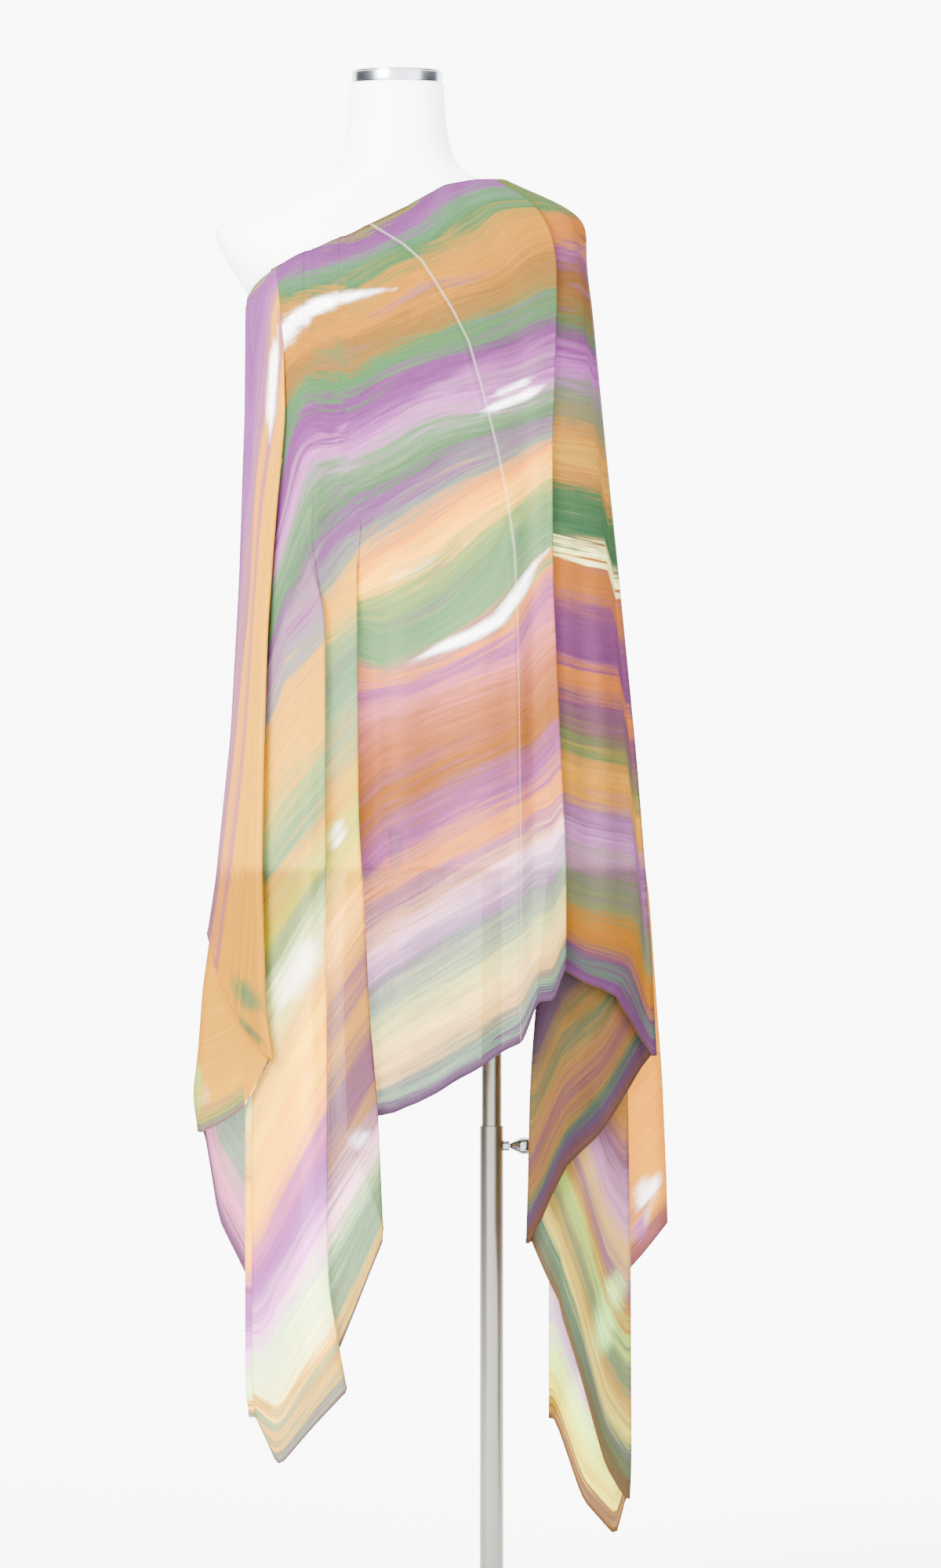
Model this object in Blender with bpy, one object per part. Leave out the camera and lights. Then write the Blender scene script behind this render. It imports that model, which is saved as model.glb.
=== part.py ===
# Hand-dyed rectangular scarf worn over one shoulder of a limbless dress form on a steel stand.
# Units are metres, +Z is up and the form faces -Y. The origin is the centre of the base plate's
# underside, on the floor and on the pole's axis; the form stands off to the -X side of the pole.
# Tables hold real sizes in millimetres in the form's own frame, whose X is zero on its centre seam.

import math
from collections import namedtuple

import bmesh
import bpy
from mathutils import Matrix, Vector

MM = 0.001

# ---- driving dimensions, millimetres -------------------------------------------------------
FORM_OFFSET_X = -103.0      # the form's centre seam, from the pole's axis
SEAM_GAP = 0.3              # between touching pieces
WALL = 1.2                  # thickness of the cloth's wall
CLOTH_CLEARANCE = 2.1       # middle of the wall to the form, where the cloth lies on it
SHOULDER_LIFT = 7.4         # more air under the layers that cross the shoulder
SEAM_SLANT = 1.62           # stretches meet on slanting walls, so they stand this much further apart
PLATE_RADIUS = 200.0
PLATE_HEIGHT = 9.0
FLANGE_RADIUS = 30.0
FLANGE_HEIGHT = 8.0
OUTER_TUBE_RADIUS = 12.9
OUTER_TUBE_BORE = 11.3
OUTER_TUBE_TOP = 562.0
MAST_RADIUS = 11.0
MAST_BORE = 9.6
MAST_FOOT = 250.0
MAST_IN_FORM = 115.0
SOCKET_RADIUS = 11.9
CLAMP_HEIGHT = 540.0
BOSS_RADIUS = 5.6
BOSS_REACH = 19.5           # from the pole's axis
SCREW_RADIUS = 2.6
SCREW_HOLE_RADIUS = 3.2
KNOB_RADIUS = 9.3
KNOB_REACH = 42.3           # from the pole's axis
CAP_RADIUS = 49.4
CAP_HEIGHT = 14.0
NECK_TOP = 1697.0
THIGH_CUT = 842.0
CROTCH_TOP = 888.0
ROUND_SIDES = 32
CAP_SIDES = 48
PLATE_SIDES = 64

# ---- the dress form: one row for each ring --------------------------------------------------
Ring = namedtuple("Ring", "z half front back power")
FORM_RINGS = (
    Ring(842, 140, 92, 98, 2.4),
    Ring(870, 147, 97, 104, 2.4),
    Ring(905, 154, 101, 109, 2.4),
    Ring(960, 158, 104, 112, 2.4),
    Ring(1010, 155, 102, 110, 2.4),
    Ring(1070, 140, 93, 98, 2.3),
    Ring(1130, 121, 83, 84, 2.3),
    Ring(1188, 111, 79, 74, 2.3),
    Ring(1240, 116, 86, 75, 2.3),
    Ring(1300, 128, 101, 81, 2.3),
    Ring(1350, 136, 116, 86, 2.3),
    Ring(1385, 141, 121, 89, 2.3),
    Ring(1420, 148, 114, 91, 2.3),
    Ring(1455, 156, 99, 92, 2.4),
    Ring(1478, 170, 91, 89, 2.4),
    Ring(1503, 186, 83, 85, 2.5),
    Ring(1528, 199, 73, 76, 2.5),
    Ring(1545, 197, 66, 70, 2.5),
    Ring(1557, 171, 63, 67, 2.4),
    Ring(1570, 140, 60, 63, 2.4),
    Ring(1585, 105, 58, 59, 2.3),
    Ring(1599, 74, 56, 57, 2.2),
    Ring(1612, 63, 55, 56, 2.1),
    Ring(1632, 57, 52, 54, 2.0),
    Ring(1660, 53, 50, 52, 2.0),
    Ring(1697, 51, 49, 51, 2.0),
)
FORM_SEGMENTS = 44

# ---- the hang of the cloth: a smooth envelope that its layers are stacked on ----------------
Hang = namedtuple("Hang", "z left right front side")
HANG_RINGS = (
    Hang(100, 238, 322, 108, 30),
    Hang(400, 238, 322, 112, 30),
    Hang(560, 234, 318, 114, 30),
    Hang(700, 224, 311, 117, 28),
    Hang(842, 210, 300, 120, 26),
    Hang(960, 197, 288, 122, 24),
    Hang(1070, 189, 275, 123, 22),
    Hang(1190, 183, 262, 124, 18),
    Hang(1300, 177, 250, 125, 14),
    Hang(1385, 171, 238, 123, 10),
    Hang(1420, 169, 231, 116, 8),
    Hang(1460, 169, 223, 102, 6),
    Hang(1500, 188, 213, 88, 4),
)
LEFT_SPREAD = ((950, 1.0), (1290, 0.45), (1460, 0.2))
RIGHT_SPREAD = ((1000, 1.0), (1300, 0.7), (1450, 0.6))
REAR_FROM = 880.0           # the right fall's under layers hang in front below this height
REAR_TO = 1450.0            # and lie on the back of the shoulder above this one
REAR_FIRST_LAYER = -22.0
REAR_LAYER_STEP = 0.5
LEFT_POWER = 2.45
RIGHT_POWER = 2.1
SHOULDER_POWER = 2.5
RIGHT_SIDE_LEAN = 14.0      # the right fall hangs this much further back at its side
BEND_REACH = 9.0            # the most that a fold's round takes from its layers

# One row for each fold line, edge or soft line, in the order in which the cloth runs. turn says
# what the cloth does there, cols is the number of steps to the next line, layer_in and layer_out
# are the layers before and after it (forward is positive), lean moves the line back, and path
# holds its (x, z) from the top edge down to the hem.
Line = namedtuple("Line", "name turn cols layer_in layer_out lean path")

SIDE_FALL = (
    Line("shoulder_edge", "edge", 2, 43, 43, 58,
         ((-164, 1452), (-164, 1290), (-169, 1120), (-178, 960), (-189, 850), (-199, 790))),
    Line("silhouette", "soft", 2, 43, 43, 0,
         ((-162, 1466), (-163, 1357), (-165, 1289), (-169, 1154), (-178, 985), (-194, 833), (-203, 776))),
    Line("hem_rise", "soft", 2, 43, 43, 0,
         ((-154, 1476), (-155, 1357), (-157, 1154), (-166, 985), (-180, 833), (-190, 722))),
    Line("hem_belly", "soft", 2, 44, 44, 0,
         ((-144, 1486), (-142, 1357), (-148, 1154), (-155, 985), (-162, 833), (-166, 671))),
    Line("side_fold", "seam_in", 0, 43, 35, 0,
         ((-130, 1494), (-121, 1400), (-119, 1329), (-128, 1230), (-137, 1112), (-141, 977),
          (-143, 850), (-139, 698), (-131, 641))),
)

UNDER_FALL = (
    Line("side_fold", "seam_out", 2, 43, 35, 0,
         ((-120, 1285), (-128, 1230), (-137, 1112), (-141, 977), (-143, 850), (-139, 698), (-131, 641))),
    Line("reverse_hem", "soft", 2, 35, 35, 0,
         ((-132, 1285), (-146, 1112), (-156, 977), (-168, 830), (-166, 700), (-163, 586))),
    Line("corner_fold", "fold", 2, 35, 2, 0,
         ((-148, 1285), (-156, 1154), (-164, 1000), (-178, 870), (-200, 778), (-209, 715),
          (-214, 647), (-220, 597), (-214, 560))),
    Line("end_hem_high", "soft", 2, 2, 2, 0,
         ((-140, 1285), (-146, 1112), (-158, 960), (-182, 778), (-194, 600), (-194, 470))),
    Line("end_hem_low", "soft", 2, 2, 2, 0,
         ((-130, 1285), (-134, 1112), (-140, 960), (-150, 778), (-160, 600), (-165, 417))),
    Line("hidden_fold", "fold", 2, 2, 13, 0,
         ((-113, 1285), (-109, 1100), (-104, 900), (-102, 500), (-99, 290))),
    Line("tail_back", "soft", 2, 13, 13, 0,
         ((-120, 1285), (-124, 1112), (-130, 900), (-134, 500), (-132, 264))),
    Line("tail_fold", "seam_in", 0, 13, 26, 0,
         ((-130, 1285), (-135, 1200), (-142, 1112), (-152, 977), (-158, 850), (-162, 580),
          (-162, 284), (-158, 256))),
)

FRONT_PANEL = (
    Line("tail_fold", "seam_out", 2, 13, 26, 0,
         ((-136, 1490), (-131, 1400), (-128, 1285), (-135, 1200), (-142, 1112), (-152, 977),
          (-158, 850), (-162, 580), (-162, 284), (-158, 256))),
    Line("tail_tip", "soft", 2, 26, 26, 0,
         ((-121, 1498), (-114, 1285), (-118, 1112), (-124, 850), (-130, 500), (-126, 202))),
    Line("tail_outer_fold", "soft", 1, 26, 26, 0,
         ((-100, 1510), (-97, 1190), (-77, 1120), (-76, 800), (-74, 394), (-54, 286))),
    Line("tail_inner_fold", "soft", 3, 14, 14, 0,
         ((-92, 1513), (-88, 1190), (-70, 1120), (-69, 800), (-66, 394), (-57, 320))),
    Line("lap_fold", "soft", 1, 14, 14, 0,
         ((-62, 1526), (-60, 1250), (-43, 1180), (-41, 884), (-35, 791), (-30, 681), (-21, 580),
          (-15, 442))),
    Line("lap_inner_fold", "soft", 1, 0, 0, 0,
         ((-54, 1529), (-51, 1250), (-35, 1180), (-34, 884), (-28, 791), (-23, 681), (-13, 582))),
    Line("front_left", "soft", 1, 0, 0, 0,
         ((-34, 1537), (-20, 1330), (-16, 1100), (-12, 850), (-1, 583))),
    Line("hem_start", "soft", 2, 1, 1, 0,
         ((-18, 1544), (4, 1330), (10, 1100), (14, 850), (21, 590))),
    Line("hem_mid", "soft", 2, 0, 0, 0,
         ((12, 1560), (36, 1330), (50, 1100), (58, 850), (62, 616))),
    Line("hem_end", "soft", 1, 3, 3, 0,
         ((52, 1582), (87, 1400), (114, 1273), (127, 1200), (131, 1019), (134, 690), (136, 658))),
    Line("valley", "soft", 1, -3, -3, 0,
         ((72, 1588), (112, 1500), (132, 1400), (142, 1273), (147, 1100), (149, 850), (152, 701))),
    Line("strip", "soft", 1, 4, 4, 0,
         ((88, 1589), (134, 1530), (152, 1440), (157, 1273), (163, 1019), (169, 808), (170, 704))),
    Line("shoulder_fold", "fold", 1, 6, 0, 0,
         ((106, 1589), (137, 1573), (155, 1556), (167, 1534), (173, 1500), (173, 1440), (168, 1300),
          (169, 1150), (175, 1019), (183, 850), (183, 737))),
    Line("recess_fold", "seam_in", 0, 0, -6, 0,
         ((98, 1589), (126, 1574), (143, 1557), (155, 1534), (161, 1500), (161, 1440), (156, 1300),
          (156, 1150), (162, 1019), (169, 850), (170, 737))),
)

SHOULDER_FALL = (
    Line("recess_fold", "seam_out", 2, 0, -6, 0,
         ((98, 1589), (126, 1574), (143, 1557), (155, 1534), (161, 1500), (161, 1440), (156, 1300),
          (156, 1150), (162, 1019), (169, 850), (170, 737))),
    Line("fall_front", "soft", 2, -5, -5, 0,
         ((108, 1590), (136, 1577), (162, 1559), (177, 1532), (182, 1460), (190, 1273), (199, 1050),
          (206, 850), (207, 718))),
    Line("fall_ridge", "soft", 2, -4, -4, 0,
         ((114, 1590), (140, 1579), (178, 1560), (194, 1536), (203, 1430), (226, 1190), (246, 1000),
          (262, 800), (254, 739), (241, 705))),
    Line("fall_silhouette", "fold", 2, -6, -22, 0,
         ((121, 1590), (142, 1581), (157, 1574), (199, 1558), (207, 1543), (206, 1500), (213, 1447),
          (228, 1289), (241, 1163), (259, 977), (266, 892), (276, 760), (282, 641))),
    Line("reverse_mid", "soft", 2, -22, -22, 0,
         ((108, 1580), (150, 1560), (180, 1540), (192, 1500), (197, 1440), (206, 1273), (216, 1050),
          (222, 800), (222, 640), (222, 556))),
    Line("reverse_low", "soft", 2, -22, -22, 0,
         ((100, 1572), (136, 1551), (164, 1530), (178, 1500), (185, 1440), (188, 1273), (188, 1050),
          (182, 800), (178, 640), (178, 516))),
    Line("reverse_fold", "seam_in", 0, -22, -34, 0,
         ((94, 1564), (124, 1541), (150, 1519), (164, 1490), (173, 1440), (176, 1273), (174, 1050),
          (168, 880), (156, 760),
          (147, 650), (144, 600), (142, 500), (140, 441))),
)

RIGHT_TAIL = (
    Line("reverse_fold", "seam_out", 2, -22, -34, 0,
         ((94, 1564), (124, 1541), (150, 1519), (164, 1490), (173, 1440), (176, 1273), (174, 1050),
          (168, 880), (156, 760),
          (147, 650), (144, 600), (142, 500), (140, 441))),
    Line("tail_hem_high", "soft", 2, -34, -34, 0,
         ((102, 1562), (133, 1538), (158, 1514), (170, 1490), (180, 1440), (186, 1273), (186, 1050),
          (184, 850), (178, 650), (176, 368))),
    Line("tail_hem_notch", "soft", 2, -32, -32, 0,
         ((110, 1560), (143, 1535), (168, 1509), (178, 1490), (187, 1440), (196, 1273), (202, 1050),
          (204, 850), (202, 650), (200, 450),
          (197, 303))),
    Line("tail_hem_low", "soft", 2, -35, -35, 0,
         ((118, 1558), (152, 1531), (178, 1504), (187, 1480), (194, 1440), (208, 1273), (220, 1050),
          (228, 850), (230, 650), (228, 400),
          (226, 196))),
    Line("tail_right_fold", "fold", 2, -34, -46, 0,
         ((126, 1556), (162, 1528), (190, 1500), (198, 1470), (203, 1440), (220, 1273), (236, 1050),
          (247, 850), (250, 650), (254, 400),
          (255, 188), (253, 160))),
    Line("tail_point", "soft", 2, -46, -46, 0,
         ((119, 1553), (154, 1525), (183, 1497), (192, 1470), (200, 1440), (215, 1273), (229, 1050),
          (239, 850), (240, 650), (242, 400),
          (239, 115))),
    Line("end_hem_mid", "soft", 2, -46, -46, 0,
         ((111, 1551), (145, 1523), (172, 1496), (182, 1470), (189, 1440), (200, 1273), (206, 1050),
          (209, 850), (208, 650), (205, 400),
          (202, 158))),
    Line("tail_back_fold", "seam_in", 0, -46, -58, 0,
         ((103, 1549), (136, 1523), (161, 1497), (171, 1470), (178, 1440), (184, 1273), (182, 1050),
          (178, 850), (170, 650), (165, 400),
          (165, 248))),
)

BACK_FALL = (
    Line("tail_back_fold", "seam_out", 2, -46, -58, 0,
         ((103, 1549), (136, 1523), (161, 1497), (171, 1470), (178, 1440), (184, 1273), (182, 1050),
          (178, 850), (170, 650), (165, 400),
          (165, 248))),
    Line("back_hem_hidden", "soft", 2, -58, -58, 0,
         ((112, 1549), (147, 1525), (173, 1500), (183, 1470), (190, 1440), (202, 1273), (208, 1050),
          (212, 850), (211, 650), (210, 330))),
    Line("back_hem_high", "soft", 2, -58, -58, 0,
         ((121, 1551), (158, 1528), (183, 1505), (193, 1470), (200, 1440), (212, 1330), (230, 1150),
          (243, 960), (250, 750), (254, 405))),
    Line("back_edge", "edge", 0, -58, -58, 0,
         ((130, 1553), (168, 1532), (192, 1512), (202, 1480), (209, 1440), (224, 1290), (244, 1100),
          (264, 892), (275, 808),
          (283, 694), (289, 615), (294, 500), (295, 455))),
)


# ---- small tools ----------------------------------------------------------------------------
def spaced(table, value):
    """Piecewise straight value through (key, value) pairs sorted by rising key."""
    if value <= table[0][0]:
        return table[0][1]
    for low, high in zip(table, table[1:]):
        if value <= high[0]:
            share = (value - low[0]) / (high[0] - low[0])
            return low[1] + (high[1] - low[1]) * share
    return table[-1][1]


def smooth_step(value, start, stop):
    share = min(max((value - start) / (stop - start), 0.0), 1.0)
    return share * share * (3.0 - 2.0 * share)


def ring_at(rings, z):
    """A ring between two rows of a table that is sorted by rising z."""
    fields = rings[0]._fields[1:]
    return {field: spaced([(ring.z, getattr(ring, field)) for ring in rings], z) for field in fields}


def bulge(x, half, power):
    """1 at a ring's middle, 0 at its side."""
    share = min(abs(x) / half, 1.0)
    return (1.0 - share ** power) ** (1.0 / power)


def to_scene(x, y, z):
    return Vector(((x + FORM_OFFSET_X) * MM, y * MM, z * MM))


def material(name, colour, roughness, metallic=0.0):
    made = bpy.data.materials.new(name)
    made.use_nodes = True
    shader = made.node_tree.nodes["Principled BSDF"]
    shader.inputs["Base Color"].default_value = (*colour, 1.0)
    shader.inputs["Roughness"].default_value = roughness
    shader.inputs["Metallic"].default_value = metallic
    return made


def add_object(name, bm, finish, smooth_angle=None):
    bmesh.ops.recalc_face_normals(bm, faces=bm.faces)
    mesh = bpy.data.meshes.new(name)
    bm.to_mesh(mesh)
    bm.free()
    if smooth_angle is not None:
        mesh.shade_smooth()
        mesh.set_sharp_from_angle(angle=math.radians(smooth_angle))
    if finish is not None:
        mesh.materials.append(finish)
    made = bpy.data.objects.new(name, mesh)
    bpy.context.scene.collection.objects.link(made)
    return made


def stack_rings(bm, rings, closed_loop=False):
    """Skin rings of equal length, given as lists of points, and cap the two ends."""
    loops = [[bm.verts.new(point) for point in ring] for ring in rings]
    count = len(loops[0])
    pairs = list(zip(loops, loops[1:]))
    if closed_loop:
        pairs.append((loops[-1], loops[0]))
    for low, high in pairs:
        for i in range(count):
            j = (i + 1) % count
            bm.faces.new((low[i], low[j], high[j], high[i]))
    if not closed_loop:
        bm.faces.new(loops[0])
        bm.faces.new(loops[-1])


def turned(name, profile, finish, sides=ROUND_SIDES, axis="Z", closed_loop=False, smooth_angle=35):
    """A turned piece. profile is a list of (radius, distance along the axis) in millimetres."""
    rings = []
    for radius, along in profile:
        ring = []
        for i in range(sides):
            angle = 2.0 * math.pi * i / sides
            across, up = radius * math.cos(angle), radius * math.sin(angle)
            point = (across, up, along) if axis == "Z" else (along, across, up)
            ring.append(Vector(point) * MM)
        rings.append(ring)
    bm = bmesh.new()
    stack_rings(bm, rings, closed_loop)
    return add_object(name, bm, finish, smooth_angle)


def tube(name, bore, radius, foot, top, finish):
    profile = ((bore, foot), (radius, foot), (radius, top), (bore, top))
    return turned(name, profile, finish, closed_loop=True)


def moved(made, x=0.0, z=0.0):
    made.data.transform(Matrix.Translation(Vector((x, 0.0, z)) * MM))
    return made


def cut_away(target, cutter):
    cutter.hide_render = True
    cutter.display_type = "WIRE"
    cut = target.modifiers.new(cutter.name, "BOOLEAN")
    cut.operation = "DIFFERENCE"
    cut.object = cutter


# ---- the dress form -------------------------------------------------------------------------
def form_ring(ring):
    points = []
    for i in range(FORM_SEGMENTS):
        angle = 2.0 * math.pi * i / FORM_SEGMENTS
        across, forward = math.cos(angle), math.sin(angle)
        reach = 1.0 / (abs(across) ** ring.power + abs(forward) ** ring.power) ** (1.0 / ring.power)
        depth = ring.back if forward > 0.0 else ring.front
        points.append(to_scene(ring.half * across * reach, depth * forward * reach, ring.z))
    return points


def build_form(finish):
    bm = bmesh.new()
    stack_rings(bm, [form_ring(ring) for ring in FORM_RINGS])
    form = add_object("dress_form", bm, finish, 60)

    # the gap between the two thigh stubs
    notch_foot, notch_head, notch_depth = 14.0, 8.0, 140.0
    bm = bmesh.new()
    outline = (
        (-notch_foot, THIGH_CUT - 6.0),
        (notch_foot, THIGH_CUT - 6.0),
        (notch_head, CROTCH_TOP - 4.0),
        (0.0, CROTCH_TOP),
        (-notch_head, CROTCH_TOP - 4.0),
    )
    sides = [[to_scene(x, y, z) for x, z in outline] for y in (-notch_depth, notch_depth)]
    stack_rings(bm, sides)
    cut_away(form, add_object("crotch_cutter", bm, None))

    socket_top = THIGH_CUT + MAST_IN_FORM + SEAM_GAP
    profile = [(SOCKET_RADIUS, THIGH_CUT - 8.0), (SOCKET_RADIUS, socket_top)]
    cut_away(form, turned("socket_cutter", profile, None))
    return form


def build_neck_cap(finish):
    low = NECK_TOP + SEAM_GAP
    profile = (
        (CAP_RADIUS - 0.8, low),
        (CAP_RADIUS, low + 0.8),
        (CAP_RADIUS, low + CAP_HEIGHT - 1.6),
        (CAP_RADIUS - 1.6, low + CAP_HEIGHT),
    )
    moved(turned("neck_cap", profile, finish, CAP_SIDES), x=FORM_OFFSET_X)


# ---- the stand ------------------------------------------------------------------------------
def build_stand(steel, chrome):
    rim = 2.0
    plate = (
        (PLATE_RADIUS - 1.0, 0.0),
        (PLATE_RADIUS, 1.0),
        (PLATE_RADIUS, PLATE_HEIGHT - rim),
        (PLATE_RADIUS - rim, PLATE_HEIGHT),
    )
    turned("base_plate", plate, steel, PLATE_SIDES)

    foot = PLATE_HEIGHT + SEAM_GAP
    flange_bore = OUTER_TUBE_RADIUS + SEAM_GAP
    flange = (
        (flange_bore, foot),
        (FLANGE_RADIUS, foot),
        (FLANGE_RADIUS, foot + 3.0),
        (flange_bore + 4.0, foot + FLANGE_HEIGHT),
        (flange_bore, foot + FLANGE_HEIGHT),
    )
    turned("foot_flange", flange, steel, closed_loop=True)

    outer_tube = tube("outer_tube", OUTER_TUBE_BORE, OUTER_TUBE_RADIUS, foot, OUTER_TUBE_TOP, steel)
    hole = ((SCREW_HOLE_RADIUS, MAST_RADIUS - 3.0), (SCREW_HOLE_RADIUS, KNOB_REACH))
    hole = moved(turned("screw_hole_cutter", hole, None, 16, axis="X"), z=CLAMP_HEIGHT)
    cut_away(outer_tube, hole)
    tube("mast", MAST_BORE, MAST_RADIUS, MAST_FOOT, THIGH_CUT + MAST_IN_FORM, steel)

    boss = (
        (BOSS_RADIUS, OUTER_TUBE_RADIUS - 2.0),
        (BOSS_RADIUS, BOSS_REACH - 0.5),
        (BOSS_RADIUS - 0.5, BOSS_REACH),
    )
    boss = moved(turned("clamp_boss", boss, steel, 20, axis="X"), z=CLAMP_HEIGHT)
    cut_away(boss, hole)
    seat_radius, seat_half = OUTER_TUBE_RADIUS + SEAM_GAP, 20.0
    seat = ((seat_radius, CLAMP_HEIGHT - seat_half), (seat_radius, CLAMP_HEIGHT + seat_half))
    cut_away(boss, turned("boss_seat_cutter", seat, None))

    tip = MAST_RADIUS + SEAM_GAP
    knob_start = BOSS_REACH + 1.5
    knob = (
        (SCREW_RADIUS, tip),
        (SCREW_RADIUS, knob_start),
        (SCREW_RADIUS + 1.2, knob_start + 1.0),
        (KNOB_RADIUS - 1.8, KNOB_REACH - 13.0),
        (KNOB_RADIUS, KNOB_REACH - 10.0),
        (KNOB_RADIUS, KNOB_REACH - 2.5),
        (KNOB_RADIUS - 1.4, KNOB_REACH - 0.6),
        (KNOB_RADIUS - 3.4, KNOB_REACH),
    )
    moved(turned("clamp_screw", knob, chrome, 16, axis="X"), z=CLAMP_HEIGHT)


# ---- the cloth ------------------------------------------------------------------------------
def hang_ring(z):
    """The envelope's ring: the form's own, and a little air, where the cloth lies on it."""
    if z <= HANG_RINGS[-1].z:
        return ring_at(HANG_RINGS, z)
    form = ring_at(FORM_RINGS, z)
    top = HANG_RINGS[-1]
    blend = smooth_step(z, top.z, top.z + 28.0)
    over_ridge = ring_at(FORM_RINGS, z - SHOULDER_LIFT)["half"] + CLOTH_CLEARANCE
    return {
        "left": form["half"] + CLOTH_CLEARANCE,
        "right": top.right + (over_ridge - top.right) * blend,
        "front": form["front"] + CLOTH_CLEARANCE,
        "side": top.side * (1.0 - blend),
    }


def widening(rings_half, z):
    """How much faster than its distance a layer widens, where the rings close over the shoulder."""
    slope = (rings_half(z + 4.0) - rings_half(z - 4.0)) / 8.0
    return min(math.hypot(1.0, slope), 2.6)


def left_depth(x, z, offset):
    ring = hang_ring(z)
    return ring["side"] - (ring["front"] + offset + ring["side"]) * bulge(x, ring["left"] + offset, LEFT_POWER)


def right_depth(x, z, offset):
    """Stacked straight forward where the cloth hangs, and round the form over the shoulder."""
    ring = hang_ring(z)
    side = ring["side"] + RIGHT_SIDE_LEAN * (1.0 - smooth_step(z, 1300.0, 1480.0))
    share = smooth_step(z, 1400.0, 1470.0)
    hanging = side - (ring["front"] + side) * bulge(x, ring["right"], RIGHT_POWER) - offset
    lift = offset + SHOULDER_LIFT * smooth_step(x, 40.0, 110.0)
    half = ring["right"] + lift * widening(lambda at: hang_ring(at)["right"], z)
    lying = ring["side"] - (ring["front"] + lift + ring["side"]) * bulge(x, half, SHOULDER_POWER)
    return hanging + (lying - hanging) * share


def rear_depth(x, z, offset):
    ring = hang_ring(z)
    lift = offset + SHOULDER_LIFT
    back = ring_at(FORM_RINGS, z)["back"] + CLOTH_CLEARANCE + lift
    half = ring["right"] + lift * widening(lambda at: hang_ring(at)["right"], z)
    return ring["side"] + (back - ring["side"]) * bulge(x, half, SHOULDER_POWER)


def spread_at(x, z):
    """How far apart the layers stand: tight where they are gathered, loose lower down."""
    return spaced(LEFT_SPREAD if x < 0.0 else RIGHT_SPREAD, z)


def cloth_point(x, z, layer, lean):
    """A point of the cloth's middle surface, from its place in front view and its layer."""
    offset = layer * spread_at(x, z)
    y = left_depth(x, z, offset) if x < 0.0 else right_depth(x, z, offset)
    if layer < REAR_FIRST_LAYER + 0.5:
        rear = rear_depth(x, z, (REAR_FIRST_LAYER - layer) * REAR_LAYER_STEP)
        y += (rear - y) * smooth_step(z, REAR_FROM, REAR_TO)
    return Vector((x, y + lean, z))


def along(path, share):
    """The point of a line at a share of its height."""
    top, foot = path[0][1], path[-1][1]
    z = top + (foot - top) * share
    table = [(-height, x) for x, height in path]
    return spaced(table, -z), z


def line_places(line, shares, before, after):
    """Where a line's cloth arrives and where it leaves: (x, z, layer, lean) down the line."""
    arriving = []
    leaving = []
    for t in shares:
        x, z = along(line.path, t)
        if line.turn == "fold":
            radius = 0.5 * abs(line.layer_in - line.layer_out) * spread_at(x, z)
            room_before = along(before.path, t)[0] - x
            room_after = along(after.path, t)[0] - x
            reach_in = min(radius, BEND_REACH, 0.42 * abs(room_before))
            reach_out = min(radius, BEND_REACH, 0.42 * abs(room_after))
            arriving.append((x + math.copysign(reach_in, room_before), z, line.layer_in, line.lean))
            leaving.append((x + math.copysign(reach_out, room_after), z, line.layer_out, line.lean))
        elif line.turn == "seam_out":
            inwards = math.copysign(0.6, along(after.path, t)[0] - x)
            apart = math.copysign(SEAM_SLANT * (WALL + SEAM_GAP), line.layer_in - line.layer_out)
            arriving.append((x + inwards, z, line.layer_in, line.lean + apart))
        else:
            growing = 0.35 + 0.65 * t
            arriving.append((x, z, line.layer_in, line.lean * growing))
    return arriving, leaving or arriving


def bend_columns(line, shares, arriving, leaving):
    """The round of a fold, between the points where it starts and ends."""
    wide = abs(line.layer_in - line.layer_out) > 15.0
    columns = []
    for angle in (-45, 0, 45) if wide else (0,):
        turn = math.radians(angle)
        column = []
        for t, start, stop in zip(shares, arriving, leaving):
            first, last = cloth_point(*start), cloth_point(*stop)
            middle = (first + last) * 0.5
            crown = along(line.path, t)[0] - middle.x
            bulged = middle + (last - first) * 0.5 * math.sin(turn)
            column.append(bulged + Vector((crown * math.cos(turn), 0.0, 0.0)))
        columns.append(column)
    return columns


def cloth_grid(lines, rows, crowding):
    """A grid of points, columns by rows, that runs through all the lines of one stretch."""
    shares = [(i / rows) ** crowding for i in range(rows + 1)]
    grid = []
    leaving = None
    for index, line in enumerate(lines):
        before = lines[index - 1] if index else None
        after = lines[index + 1] if index + 1 < len(lines) else None
        arriving, next_leaving = line_places(line, shares, before, after)
        if leaving:
            steps = before.cols
            for k in range(1, steps):
                mix = k / steps
                grid.append([cloth_point(*(a + (b - a) * mix for a, b in zip(p, q)))
                             for p, q in zip(leaving, arriving)])
        grid.append([cloth_point(*place) for place in arriving])
        if line.turn == "fold":
            grid.extend(bend_columns(line, shares, arriving, next_leaving))
            grid.append([cloth_point(*place) for place in next_leaving])
        leaving = next_leaving
    return grid


def grid_normals(grid):
    normals = []
    width, height = len(grid), len(grid[0])
    for i in range(width):
        column = []
        for j in range(height):
            across = grid[min(i + 1, width - 1)][j] - grid[max(i - 1, 0)][j]
            down = grid[i][min(j + 1, height - 1)] - grid[i][max(j - 1, 0)]
            column.append(across.cross(down).normalized())
        normals.append(column)
    return normals


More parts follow.
